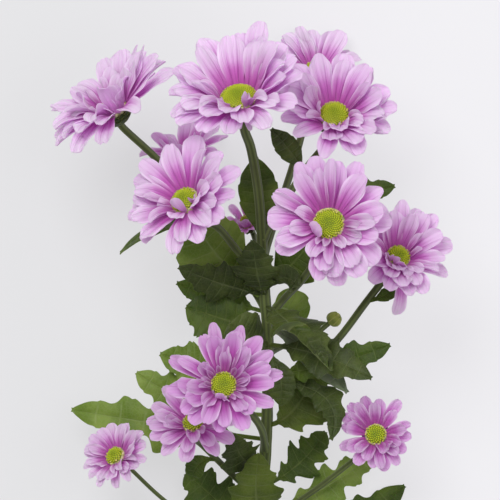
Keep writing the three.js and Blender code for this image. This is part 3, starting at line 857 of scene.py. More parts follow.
@dataclass(frozen=True)
class BladeForm:
    """A thin blade, as it lies flat: its root at the origin and its tip along Y.

    Attributes:
        length: How long it is.
        half_width: Half its widest.
        outline: Share of the length, and half the width there as a share of the widest.
        columns: How many faces lie across it.
        rows: How many lie along it.
        thickness: How thick it is.
        tip: Share of the way out to an edge, and how far down the tip is cut there, as a share of the length.
        creases: Share of the way out to an edge, and how high the blade stands there.
    """

    length: float
    half_width: float
    outline: Stops
    columns: int
    rows: int
    thickness: float
    tip: Stops = ((0, 0), (1, 0))
    creases: Stops = ((0, 0), (1, 0))

    def make(self) -> Mould:
        """Models the blade from a grid, row by row and then column by column, and gives it its thickness.

        Returns:
            The mould, in millimetres.
        """
        Bench.take()
        bpy.ops.mesh.primitive_grid_add(x_subdivisions=self.columns, y_subdivisions=self.rows, size=1)
        made = bpy.context.object
        Bench.edit(made)
        bpy.ops.mesh.select_all(action="SELECT")
        size = (2 * self.half_width, self.length, 1)
        bpy.ops.transform.translate(value=(0, 0.5, 0))
        bpy.ops.transform.resize(value=size, center_override=(0, 0, 0))
        across = self.columns + 1
        shares = np.arange(self.rows + 1) / self.rows
        for row, (share, wide) in enumerate(zip(shares, eased(self.outline, shares))):
            Bench.pick(made, lambda vertex: vertex.index // across == row)
            bpy.ops.transform.resize(value=(wide, 1, 1), center_override=(0, share * self.length, 0))
        out = abs(2 * np.arange(across) / self.columns - 1)
        for column, (cut, raised) in enumerate(zip(eased(self.tip, out), eased(self.creases, out))):
            Bench.pick(made, lambda vertex: vertex.index % across == column)
            bpy.ops.transform.resize(value=(1, 1 - cut, 1), center_override=(0, 0, 0))
            bpy.ops.transform.translate(value=(0, 0, raised))
        Bench.take(made)
        wall = made.modifiers.new("wall", "SOLIDIFY")
        wall.thickness = self.thickness
        wall.offset = 0
        bpy.ops.object.modifier_apply(modifier=wall.name)
        return Mould.taken_from(made, blade=True)


# Where a piece lies lower than this height, the table presses it up by this share of the way back to it
REST_FROM = 1.6
RESTED = 0.55


@dataclass
class Bunch:
    """Copies of moulds that together make one piece."""

    points: list[np.ndarray] = field(default_factory=list)
    skin: list[np.ndarray] = field(default_factory=list)
    faces: list[tuple[int, ...]] = field(default_factory=list)
    numbers: dict[str, list[np.ndarray]] = field(default_factory=dict)
    count: int = 0

    def add(self, mould: Mould, points: np.ndarray, **numbers: float | np.ndarray) -> None:
        """Adds one copy of a mould.

        Args:
            mould: The mould.
            points: Where its points lie, in millimetres from the middle of the head.
            numbers: What the copy carries at its points for its finish.
        """
        self.points.append(points)
        self.skin.append(mould.skin)
        self.faces.extend(tuple(self.count + corner for corner in face) for face in mould.faces)
        for name, value in {"upper": mould.upper, **numbers}.items():
            self.numbers.setdefault(name, []).append(np.broadcast_to(value, len(points)))
        self.count += len(points)

    def add_round(
        self, plan: BloomPlan, profile: list[tuple[float, float]], sides: int, **numbers: float
    ) -> None:
        """Adds a round solid on a bloom's own axis.

        Args:
            plan: The bloom.
            profile: The radius and height of each of its rings, from the lowest.
            sides: How many sides they have.
            numbers: What it carries for its finish.
        """
        form = Mould.taken_from(Bench.turned(profile, sides))
        self.add(form, plan.placed(form.points), **numbers)

    def grown(self, name: str, material: Material, crisp: float = 50) -> Object:
        """Makes the piece, pressed flat where it rests on the table.

        Args:
            name: Its name.
            material: Its finish.
            crisp: The angle past which an edge stays sharp, in degrees.

        Returns:
            The object, at the origin, with its place in its mesh.
        """
        mesh = bpy.data.meshes.new(name)
        placed = np.vstack(self.points) + HEAD_MIDDLE
        placed[:, 2] -= RESTED * np.minimum(placed[:, 2] - REST_FROM, 0)
        mesh.from_pydata(placed * MM, [], self.faces)
        corners = np.empty(len(mesh.loops), int)
        mesh.loops.foreach_get("vertex_index", corners)
        layer = mesh.uv_layers.new(name=UV_NAME)
        layer.data.foreach_set("uv", np.vstack(self.skin)[corners].astype(np.float32).ravel())
        for key, values in self.numbers.items():
            Bench.carry(mesh, key, np.concatenate(values))
        mesh.materials.append(material)
        made = Bench.add(name, mesh)
        Bench.take(made)
        bpy.ops.object.shade_smooth_by_angle(angle=math.radians(crisp))
        return made


def hand_over(piece: Object, slot: str, *nodes: str) -> None:
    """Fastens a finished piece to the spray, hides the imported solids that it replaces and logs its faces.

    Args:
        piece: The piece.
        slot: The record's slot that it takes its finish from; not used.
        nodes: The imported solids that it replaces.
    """
    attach(piece, BODY)
    if nodes:
        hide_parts(*nodes)
    log.info("%s: %d faces", piece.name, len(piece.data.polygons))


# The spray's own pieces

CORNERS_PER_RIB = 6
STEM_CRISP = math.radians(40)
CUT_SHARE = 0.92
CUT_DEPTH = 0.5


def stem_lines() -> dict[str, Line]:
    """The middle line of the main stem and of every side stem, by name."""
    ends = {plan.name: plan.stem_end() for plan in BLOOMS} | {BUD.name: [BUD.at]}
    main = Line([*STEM_LINE, *ends[TOP_BLOOM]])
    sides = {
        name: Line([tuple(main.at(leaves)), *through, *ends[name]])
        for name, (leaves, through) in BRANCHES.items()
    }
    return {"main": main} | sides


@dataclass
class Stem:
    """The ribbed green stems, main and side, as one piece.

    Attributes:
        lines: The lines that they follow.
        rings_per_span: How many rings there are from one point of a line to the next.
        main_ribs: How many ribs the main stem has.
        side_ribs: How many a side stem has.
        rib_height: How high the ribs are, as a share of the radius.
        rib_middle: How far up a rib the plain radius is, as a share of its height.
        collar: How much a side stem swells where it leaves the main one, as a share of its radius.
        collar_length: How far the swelling reaches.
        knot: How much the main stem swells where a leaf or side stem leaves it.
        knot_length: How far that reaches, as a count along its line.
        cut_rims: How wide the green skin round the cut end is, and the pale wood inside it.
        pith_depth: How far the pith within them is sunk.
        resting: How far over the table the stem is pressed flat where it lies.
    """

    lines: dict[str, Line] = field(default_factory=stem_lines)
    rings_per_span: int = 7
    main_ribs: int = 7
    side_ribs: int = 5
    rib_height: float = 0.07
    rib_middle: float = 0.7
    collar: float = 0.5
    collar_length: float = 3.5
    knot: float = 0.1
    knot_length: float = 0.12
    cut_rims: tuple[float, float] = (0.35, 0.9)
    pith_depth: float = 0.3
    resting: float = 0.02

    def radius(self, name: str, count: float) -> float:
        """How thick a stem is at a count along it, in millimetres.

        Args:
            name: The stem.
            count: Where on it.

        Returns:
            The radius without its swellings.
        """
        if name != "main":
            return BRANCH_RADIUS * SLENDER.get(name, 1)
        share = max(0.0, count - 1) / (self.lines["main"].spans - 1)
        return STEM_RADIUS + (STEM_TOP_RADIUS - STEM_RADIUS) * share

    def _section(self, ribs: int) -> Object:
        """The ribbed section of a stem, with a radius of 1.

        Args:
            ribs: How many ribs it has.

        Returns:
            A flat closed curve.
        """
        curve = bpy.data.curves.new("section", "CURVE")
        curve.dimensions = "2D"
        spline = curve.splines.new("POLY")
        corners = ribs * CORNERS_PER_RIB
        spline.points.add(corners - 1)
        for corner, point in enumerate(spline.points):
            turn = 2 * math.pi * corner / corners
            radius = 1 + self.rib_height * (math.cos(ribs * turn) + 1 - 2 * self.rib_middle)
            point.co = (radius * math.cos(turn), radius * math.sin(turn), 0, 1)
        spline.use_cyclic_u = True
        return Bench.add("section", curve)

    def _swell(self, name: str, count: float, gone: float) -> float:
        """How much thicker than its plain radius a stem is at one place.

        Args:
            name: The stem.
            count: Where on it.
            gone: How far that is from its start, in millimetres.

        Returns:
            The factor.
        """
        if name != "main":
            return 1 + self.collar * math.exp(-((gone / self.collar_length) ** 2))
        knots = [leaves for leaves, _ in BRANCHES.values()]
        knots += [leaf.leaves for leaf in LEAVES if leaf.on == "main"]
        nearest = min(abs(count - knot) for knot in knots)
        return 1 + self.knot * math.exp(-((nearest / self.knot_length) ** 2))

    def _stalk(self, name: str, section: Object) -> Object:
        """Models one stem as a curve with a section, and makes it a mesh.

        Args:
            name: The stem.
            section: Its section.

        Returns:
            The mesh object, which carries how high each point stands on a rib, and where the stem is cut.
        """
        line = self.lines[name]
        counts = np.linspace(0, line.spans, line.spans * self.rings_per_span + 1)
        middles = np.array([line.at(count) for count in counts])
        gone = np.concatenate([[0], np.cumsum(np.linalg.norm(np.diff(middles, axis=0), axis=1))])
        radii = np.array(
            [self.radius(name, count) * self._swell(name, count, far) for count, far in zip(counts, gone)]
        )
        curve = bpy.data.curves.new(name, "CURVE")
        curve.dimensions = "3D"
        curve.bevel_mode = "OBJECT"
        curve.bevel_object = section
        curve.use_fill_caps = True
        spline = curve.splines.new("POLY")
        spline.points.add(len(counts) - 1)
        for point, middle, radius in zip(spline.points, middles, radii):
            point.co = (*((middle + HEAD_MIDDLE) * MM), 1)
            point.radius = radius * MM
        stalk = Bench.add(name, curve)
        Bench.take(stalk)
        bpy.ops.object.convert(target="MESH")
        places = np.array([vertex.co for vertex in stalk.data.vertices]) / MM - HEAD_MIDDLE
        nearest = np.linalg.norm(places[:, None] - middles[None], axis=2).argmin(axis=1)
        away = np.linalg.norm(places - middles[nearest], axis=1) / radii[nearest]
        height = np.clip((away - 1) / (2 * self.rib_height) + self.rib_middle, 0, 1)
        Bench.carry(stalk.data, "upper", height)
        Bench.carry(stalk.data, "along", np.zeros(len(places)))
        return stalk

    def _trim_cut(self, stalk: Object) -> None:
        """Shapes the cut end of the main stem: a pale face with a slightly sunken pith in the green skin.

        Args:
            stalk: The main stem.
        """
        Bench.edit(stalk, "FACE")
        mesh = bmesh.from_edit_mesh(stalk.data)
        end = min(mesh.faces, key=lambda face: face.calc_center_median().y)
        for face in mesh.faces:
            face.select_set(face == end)
        bmesh.update_edit_mesh(stalk.data)
        for rim in self.cut_rims:
            bpy.ops.mesh.inset(thickness=rim * MM)
        bpy.ops.transform.translate(value=(0, self.pith_depth * MM, 0))
        bpy.ops.object.mode_set(mode="OBJECT")
        tip = min(vertex.co.y for vertex in stalk.data.vertices)
        middle = Vector((self.lines["main"].at(0) + HEAD_MIDDLE) * MM)
        for vertex, value in zip(stalk.data.vertices, stalk.data.attributes["along"].data):
            inside = (vertex.co - middle).length < CUT_SHARE * STEM_RADIUS * MM
            value.value = float(inside and vertex.co.y < tip + CUT_DEPTH * MM)

    def build(self) -> None:
        """Models every stem, joins them and hands the piece over."""
        main, side = self._section(self.main_ribs), self._section(self.side_ribs)
        stalks = [self._stalk(name, main if name == "main" else side) for name in self.lines]
        self._trim_cut(stalks[0])
        Bench.take(*stalks)
        bpy.ops.object.join()
        piece = bpy.context.object
        piece.name = "green_stems"
        Bench.edit(piece)
        Bench.face_outwards()
        Bench.take(piece)
        for vertex in piece.data.vertices:
            vertex.co.z = max(vertex.co.z, self.resting * MM)
        bpy.ops.object.shade_smooth_by_angle(angle=STEM_CRISP)
        piece.data.materials.clear()
        piece.data.materials.append(StemFinish().make())
        for section in (main, side):
            bpy.data.objects.remove(section)
        hand_over(piece, "stem_green", "stem")


BRACT = BladeForm(
    length=5,
    half_width=1,
    outline=((0, 0.7), (0.4, 1), (0.8, 0.75), (1, 0.15)),
    columns=4,
    rows=6,
    thickness=0.3,
    tip=((0, 0), (1, 0.06)),
    creases=((0, 0.12), (0.5, 0), (1, 0.05)),
)
ROUND_SIDES = 20
CUP_SEED = 700
CUP_BLOOM_SEED = 37
BUD_SEED = 599.8


@dataclass
class Clad:
    """A round green body clad in rings of bracts, as a cup or the bud is.

    Attributes:
        bract: The mould of one bract.
        profile: The radius and height of each ring of the body, from the lowest, as shares of its size.
        rings: For each ring of bracts, how many there are, where they start and end as a share of their
            room, how wide they are for their place, and how far their tips stand out.
        stand: How far the first ring stands off the body, and how much further each next one does.
        narrowest: The least radius that a bract is bent round, as a share of the body's.
        ring_seed: How far apart the seeds of two rings are.
        uneven: How much the bracts differ in place, as a share of the way to the next, and in length.
        tone: How light the body is.
    """

    bract: Mould
    profile: Stops
    rings: tuple[tuple[int, float, float, float, float], ...]
    stand: tuple[float, float]
    narrowest: float
    ring_seed: int
    uneven: tuple[float, float] = (0, 0)
    tone: float = 0

    def clothed(self, plan: BloomPlan, radius: float, heights: Point, seed: float) -> Bunch:
        """Models the body and lays its bracts.

        Args:
            plan: The bloom that it belongs to.
            radius: Its radius.
            heights: Where its profile starts, how high a share of 1 is on it, and how high bracts have room.
            seed: What makes its bracts its own.

        Returns:
            The body and its bracts.
        """
        foot, tall, room = heights
        profile = [(share * radius, rise * tall + foot) for share, rise in self.profile]
        bunch = Bunch()
        bunch.add_round(plan, profile, ROUND_SIDES, tone=self.tone)
        radii, rises = zip(*profile)
        x, y, z = self.bract.points.T
        share = y / BRACT.length
        for ring, (count, start, end, wide, out) in enumerate(self.rings):
            half = wide * math.pi * radius / count
            stand = z + self.stand[0] + self.stand[1] * ring + out * share**3
            for index in range(count):
                own = seed + self.ring_seed * ring + index
                place = index + 0.5 * (ring % 2) + self.uneven[0] * scatter(own)
                long = room * (1 + self.uneven[1] * scatter(own + 0.1))
                height = (start + (end - start) * share) * long
                body = np.interp(height, rises, radii)
                turn = 2 * math.pi * place / count + x * half / np.maximum(body, self.narrowest * radius)
                away = body + stand
                points = np.stack([away * np.cos(turn), away * np.sin(turn), height], axis=1)
                bunch.add(self.bract, plan.placed(points), tone=0.5 + 0.5 * scatter(own + 0.2))
        return bunch


@dataclass
class Cups(Clad):
    """The green cups under the blooms: a rounded foot with overlapping bracts, measured down from the rim."""

    profile: Stops = (
        (0.2, 0.82), (0.42, 0.76), (0.64, 0.64), (0.79, 0.5), (0.88, 0.36), (0.95, 0.2), (0.98, 0.04),
    )
    rings: tuple[tuple[int, float, float, float, float], ...] = (
        (13, 0.72, 0.24, 1.15, 1),
        (12, 0.5, 0.04, 1.15, 0.9),
        (14, 0.3, -0.16, 1.1, 0.8),
    )
    stand: tuple[float, float] = (0.12, 0.1)
    narrowest: float = 0.35
    ring_seed: int = 17
    uneven: tuple[float, float] = (0.1, 0.05)
    tone: float = 0.2

    def build(self, plan: BloomPlan, material: Material) -> None:
        """Models one bloom's cup and hands it over.

        Args:
            plan: The bloom.
            material: The bracts' finish.
        """
        seed = CUP_SEED + CUP_BLOOM_SEED * int(plan.name)
        bunch = self.clothed(plan, plan.cup_radius, (0, -plan.cup_depth, -plan.cup_depth), seed)
        hand_over(bunch.grown(f"calyx_{plan.name}", material), "stem_green")


@dataclass
class Bud(Clad):
    """The one closed bud, with its bracts round its foot, measured in the bud's radius."""

    profile: Stops = (
        (0.25, 0.02), (0.7, 0.15), (0.96, 0.5), (1, 0.85),
        (0.93, 1.25), (0.72, 1.65), (0.4, 1.95), (0.12, 2.06),
    )
    rings: tuple[tuple[int, float, float, float, float], ...] = (
        (7, 0.02, 0.62, 1.2, 0),
        (8, 0.16, 0.8, 1.2, 0),
        (9, 0.32, 0.93, 1.2, 0),
    )
    stand: tuple[float, float] = (0.1, 0.08)
    narrowest: float = 0.4
    ring_seed: int = 10

    def build(self, material: Material) -> None:
        """Models the bud and hands it over.

        Args:
            material: Its finish.
        """
        top = self.profile[-1][1] * BUD_RADIUS + SEAT_GAP
        bunch = self.clothed(BUD, BUD_RADIUS, (SEAT_GAP, BUD_RADIUS, top), BUD_SEED)
        hand_over(bunch.grown("closed_bud", material), "bud_green", "bud")


@dataclass(frozen=True)
class RayRow:
    """One ring of ray florets.

    Attributes:
        layer: Which of a plan's counts says how many there are.
        per: How many there are to each one of that count.
        share: How long they are for the space that they have.
        root_rise: How steeply they leave the hub, in degrees.
        tip_rise: How steeply they end.
        height: How high over the hub's foot they start.
        out: How far outside the disc they start.
        half_width: Half the width of one, on a bloom of full size.
        ragged: How much they differ from each other.
        rolled: The share of them that are rolled up.
        free: Whether it keeps its own angles, whatever the bloom's.
        inner: Whether it leaves the upper side of a plainer bloom open.
    """

    layer: int
    per: float
    share: float
    root_rise: float
    tip_rise: float
    height: float
    out: float
    half_width: float
    ragged: float
    rolled: float
    free: bool = False
    inner: bool = False


RAY_ROWS = (
    RayRow(0, 1, 1, 0, -12, 1, 0.5, 4.6, 0.8, 0.03),
    RayRow(1, 1, 0.93, 20, 2, 1.5, 0.3, 4.5, 1.1, 0.06),
    RayRow(1, 0.75, 0.74, 34, 12, 2, 0.1, 4, 1.9, 0.25, inner=True),
    RayRow(2, 1.25, 0.5, 46, 36, 2.4, -0.1, 3, 2.6, 0.5, inner=True),
)
FULL_INNER = 8
OPEN_SIDE = 0.15
# The middle of the sector in which a bloom's inner florets stand up, and its reach to each side, in degrees
STANDING = {"01": (-20, 48), "03": (-50, 42), "06": (-140, 30), "08": (-95, 26), "12": (-90, 130)}
STANDING_RISE = (64, 102)
# How far florets draw together round a bloom, in radians
BUNCHING = 0.14
# Single florets out of line: each one's turn in degrees, and then a row's fields from the share on
ODD_RAYS = {
    name: [(turn, RayRow(0, 1, *row)) for turn, *row in rows]
    for name, rows in {
        "01": (
            (94, 1.05, 2, 6, 1.0, 0.3, 1.7, 0, 1),
            (62, 1.0, 10, 30, 1.4, 0.3, 1.6, 0, 1),
            (-168, 0.9, 0, -30, 1.0, 0.3, 1.8, 0, 1),
        ),
        "02": (
            (76, 1.14, 2, -8, 1.4, 0.4, 4.6, 0, 0),
            (-48, 0.4, 55, 118, 2.2, -0.6, 2.6, 1, 1, True),
            (-78, 0.62, 10, -50, 2.2, -0.2, 2.6, 0, 1),
            (-66, 0.6, 4, -56, 2.2, -0.2, 2.4, 0, 1),
        ),
        "04": (
            (-22, 0.95, -14, 40, 1.2, 0.4, 3.2, 0, 1),
            (-34, 0.9, -20, 20, 0.8, 0.4, 3.0, 0, 1),
        ),
        "05": (
            (84, 1.0, 2, -6, 1.2, 0.4, 4.4, 0, 0),
            (64, 0.96, 6, 2, 1.5, 0.4, 4.2, 0, 0),
            (104, 0.98, 6, 0, 1.4, 0.4, 4.4, 0, 0),
        ),
        "06": (
            (4, 0.55, 20, 10, 2.2, 0, 2.2, 0, 1),
            (-12, 0.6, 16, 6, 2.2, 0, 2.2, 0, 1),
            (-26, 0.55, 24, 10, 2.2, 0, 2.4, 0, 1),
            (-142, 0.5, 66, 150, 2.2, 0, 3.4, 1, 0, True),
            (-112, 0.42, 60, 64, 2.2, 0, 2.6, 1, 1, True),
        ),
        "07": (
            (-90, 1.2, -12, -74, 1.6, 0.4, 3.7, 0, 0, True),
            (-128, 0.38, 58, 112, 2.2, -0.4, 3.4, 1, 1, True),
        ),
        "08": (
            (100, 1.04, -4, -12, 1.0, 0.4, 4.0, 0, 0),
            (73, 1.02, -6, -14, 1.0, 0.4, 3.8, 0, 0),
            (-2, 0.4, 40, 10, 2.4, -0.1, 2.6, 1, 1),
            (-18, 0.42, 36, 14, 2.4, -0.1, 2.6, 1, 1),
            (-38, 0.4, 40, 20, 2.4, -0.1, 2.6, 1, 1),
            (112, 0.4, 60, 50, 2.4, -0.1, 2.8, 1, 1),
            (148, 0.42, 46, 30, 2.4, -0.1, 2.8, 1, 1),
            (172, 0.4, 40, 24, 2.4, -0.1, 2.6, 1, 1),
        ),
        "13": [(turn, 0.85, 64, 106, 1.6, 0, 4.6, 1, 0, True) for turn in range(-170, 10, 36)],
    }.items()
}
# How much more ragged, and how much narrower, the florets of some blooms are
RUFFLED = {"01": 1.25, "03": 1.15, "04": 1.15, "08": 1.3, "09": 1.3, "10": 1.25, "11": 1.5}
NARROW = {"01": 0.92, "08": 0.84, "09": 0.9, "10": 0.95, "11": 0.96}
# Gaps where florets have fallen: which ring, from which turn and to which, in degrees
FALLEN = {
    "01": ((0, -62, 12),),
    "04": ((0, -62, -28), (0, -150, -128)),
    "06": ((0, -146, -118), (1, -146, -116), (2, -146, -116), (3, -150, -112)),
}
FULL_REACH = 27
STEEPEST_ROOT = 68
STEEPEST_TIP = 92
SEED_OF_BLOOM = 100
SEED_OF_ROW = 31
SEED_OF_ODD = 5000

RAY_OUTLINE = (
    (0, 0.46), (0.13, 0.54), (0.4, 0.82), (0.64, 0.97), (0.8, 1), (0.9, 0.97), (0.97, 0.88), (1, 0.76),
)
RAY_CREASES = ((0, 0), (0.2, -0.05), (0.4, -0.42), (0.6, -0.1), (0.8, 0), (1, -0.1))
RAY_LENGTH = 20
RAY_HALF_WIDTH = 4.3
RAY_STEPS = 33


class RayTip(Enum):
    """How the tip of a ray floret is cut: share of the way out to an edge, and how far down the cut goes."""

    CLEFT = ((0, 0.03), (0.2, 0), (0.4, 0.004), (0.6, 0.02), (0.8, 0.055), (1, 0.11))
    TOOTHED = ((0, 0), (0.2, 0.01), (0.4, 0.02), (0.6, 0.02), (0.8, 0.055), (1, 0.115))
    ROUND = ((0, 0), (0.4, 0.007), (0.6, 0.022), (0.8, 0.055), (1, 0.11))
    OVAL = ((0, 0), (0.4, 0.02), (0.7, 0.07), (1, 0.16))


def within_half_turn(degrees: float) -> float:
    """The same turn, from -180 to 180 degrees."""
    return (degrees + 180) % 360 - 180


@dataclass
class RayFlorets:
    """The pink ray florets of one bloom.

    Angles are degrees, and a spread is how much ragged florets differ from each other.

    Attributes:
        plan: The bloom.
        moulds: The florets that they are copied from.
        place_spread: How much their places differ, as a share of the way to the next.
        rise_spread: How much every floret differs in its rise.
        root_lean: How much of the bloom's lean the roots follow.
        tip_lean: How much of it the tips follow.
        upper_length: How much longer the florets of the upper side are.
        ragged_length: How much shorter the ragged ones are.
        curl: How far the end of each one curls up.
        sway: How far they sway to a side.
        tilt: How far they twist about their own length.
        channel: How deep a floret's channel is for its width.
        wave: How high the edges wave.
        waves: How many times they do.
    """

    plan: BloomPlan
    moulds: list[Mould]
    place_spread: float = 0.2
    rise_spread: float = 5
    root_lean: float = 0.3
    tip_lean: float = 1.4
    root_spread: float = 3
    tip_spread: float = 7
    upper_length: float = 0.06
    ragged_length: float = 0.05
    length_spread: float = 0.09
    curl: float = -10
    curl_spread: float = 22
    sway: float = 11
    tilt: float = 14
    width_spread: float = 0.16
    rolled_width: float = 0.55
    rolled_channel: float = 0.9
    channel: float = 0.2
    channel_spread: float = 0.22
    wave: float = 0.17
    waves: float = 1.5

    @staticmethod
    def moulded() -> list[Mould]:
        """Models one ray floret with each kind of tip."""
        return [
            BladeForm(
                length=RAY_LENGTH,
                half_width=RAY_HALF_WIDTH,
                outline=RAY_OUTLINE,
                columns=10,
                rows=15,
                thickness=0.32,
                tip=tip.value,
                creases=RAY_CREASES,
            ).make()
            for tip in RayTip
        ]

    def _midline(self, row: RayRow, turn: float, seed: float) -> tuple[np.ndarray, np.ndarray, np.ndarray]:
        """The arc that one floret follows.

        Args:
            row: Its ring.
            turn: Its place round the bloom.
            seed: What makes it its own.

        Returns:
            Points along the arc, the way that it runs at each, and the way that it faces outward there.
        """
        plan, ragged = self.plan, self._ragged(row)
        lean = plan.lean * math.sin(turn)
        rise = plan.close + self.rise_spread * scatter(seed + 0.05)
        start = row.root_rise + rise + self.root_lean * lean + self.root_spread * ragged * scatter(seed + 0.1)
        end = row.tip_rise + rise + self.tip_lean * lean + self.tip_spread * ragged * scatter(seed + 0.2)
        start, end = min(start, STEEPEST_ROOT), min(end, STEEPEST_TIP)
        if row.free:
            start, end = row.root_rise, row.tip_rise
        stands = row.inner * self._stands(turn)
        start += stands * (STANDING_RISE[0] - start)
        end += stands * (STANDING_RISE[1] - end)
        root = plan.disc + row.out
        length = (plan.reach - root) * row.share
        length *= 1 + self.upper_length * math.sin(turn) - self.ragged_length * ragged
        length *= 1 + self.length_spread * ragged * scatter(seed + 0.3)
        curl = math.radians(self.curl_spread * ragged * scatter(seed + 0.6) + self.curl)
        sway = math.radians(self.sway * ragged * scatter(seed + 0.7))
        share = np.linspace(0, 1, RAY_STEPS)
        slope = np.radians(start + (end - start) * share) + curl * share**3
        yaw = turn + sway * share**1.5
        way = np.stack([np.cos(slope) * np.cos(yaw), np.cos(slope) * np.sin(yaw), np.sin(slope)], axis=1)
        steps = 0.5 * (way[1:] + way[:-1]) * length / (RAY_STEPS - 1)
        line = np.vstack([np.zeros(3), np.cumsum(steps, axis=0)])
        line += np.array([root * math.cos(turn), root * math.sin(turn), row.height])
        return line, way, yaw

    def _floret(self, row: RayRow, turn: float, seed: float, bunch: Bunch) -> None:
        """Lays one floret along its own arc.

        Args:
            row: Its ring.
            turn: Its place round the bloom.
            seed: What makes it its own.
            bunch: What it is added to.
        """
        plan, ragged = self.plan, self._ragged(row)
        line, way, yaw = self._midline(row, turn, seed)
        mould = self.moulds[int(2 * (1 + scatter(seed + 0.9))) % len(self.moulds)]
        across, along = 2 * mould.skin[:, 0] - 1, mould.points[:, 1] / RAY_LENGTH
        share = np.linspace(0, 1, RAY_STEPS)
        middle, way = (
            np.stack([np.interp(along, share, column) for column in table.T], axis=1)
            for table in (line, way)
        )
        facing = np.interp(along, share, yaw)
        side = np.stack([np.sin(facing), -np.cos(facing), np.zeros(len(facing))], axis=1)
        normal = np.cross(side, unit(way))
        tilt = (math.radians(self.tilt * ragged * scatter(seed + 0.4)) * along)[:, None]
        side, normal = (
            side * np.cos(tilt) + normal * np.sin(tilt),
            normal * np.cos(tilt) - side * np.sin(tilt),
        )
        rolled = 0.5 * (1 + scatter(seed + 0.5)) < row.rolled
        half = row.half_width * plan.reach / FULL_REACH * NARROW.get(plan.name, 1)
        half *= self.rolled_width if rolled else 1 + self.width_spread * scatter(seed + 0.45)
        channel = self.channel + self.channel_spread * ragged * scatter(seed + 0.8)
        if rolled:
            channel = self.rolled_channel
        beat = self.waves * along + scatter(seed + 0.15) + 0.2 * np.sign(across)
        wave = self.wave * np.sin(2 * math.pi * beat)
        wide = eased(RAY_OUTLINE, mould.skin[:, 1])
        lift = half * wide * (channel * np.abs(across) ** 1.7 + wave * across**2 * along)
        lift += mould.points[:, 2] * half / RAY_HALF_WIDTH
        points = middle + side * (mould.points[:, :1] * half / RAY_HALF_WIDTH) + normal * lift[:, None]
        tone = 0.5 + 0.5 * scatter(seed + 0.25)
        bunch.add(mould, plan.placed(points), tone=tone, pink=plan.pink)

    def _ragged(self, row: RayRow) -> float:
        """How much the florets of a ring differ from each other on this bloom."""
        return row.ragged * RUFFLED.get(self.plan.name, 1)

    def _stands(self, turn: float) -> float:
        """How far an inner floret stands up over the disc, from 0 to 1: fully in the middle of a sector."""
        middle, reach = STANDING.get(self.plan.name, (0, 0))
        away = abs(within_half_turn(math.degrees(turn) - middle))
        return float(np.clip(1.5 - 1.5 * away / reach, 0, 1)) if reach else 0

    def _fallen(self, number: int, turn: float) -> bool:
        """Whether a ring has a gap at one place."""
        facing, gaps = within_half_turn(math.degrees(turn)), FALLEN.get(self.plan.name, ())
        return any(ring == number and start < facing < end for ring, start, end in gaps)

    def _left_open(self, turn: float, seed: float) -> bool:
        """Whether an inner floret is missing: on a plainer bloom, all round its upper side."""
        full = self.plan.rays[2] / FULL_INNER
        return full < 1 and math.sin(turn) + 0.5 * scatter(seed + 0.35) > OPEN_SIDE + 0.5 * (full - 0.5)

    def build(self, material: Material) -> None:
        """Lays every floret and hands the piece over.

        Args:
            material: The florets' finish.
        """
        bunch, name = Bunch(), self.plan.name
        for number, row in enumerate(RAY_ROWS):
            count = round(self.plan.rays[row.layer] * row.per)
            for index in range(count):
                seed = SEED_OF_BLOOM * int(name) + SEED_OF_ROW * number + index
                place = index + 0.5 * (number % 2) + self.place_spread * row.ragged * scatter(seed)
                turn = 2 * math.pi * place / count
                turn += BUNCHING * math.sin(2 * turn + int(name))
                if self._fallen(number, turn) or row.inner and self._left_open(turn, seed):
                    continue
                self._floret(row, turn, seed, bunch)
        for index, (turn, row) in enumerate(ODD_RAYS.get(name, ())):
            self._floret(row, math.radians(turn), SEED_OF_ODD + index, bunch)
        hand_over(bunch.grown(f"ray_florets_{name}", material), "ray_pink", f"bloom_{name}_rays")


DISC_SEED = 900
DISC_BLOOM_SEED = 41
TUBE_RIM = 1.7
LOBE_SPREAD = 1.45
LOBE_RISE = 0.25
HUB_SIDES = 24
HUB_OVER_DISC = 0.35


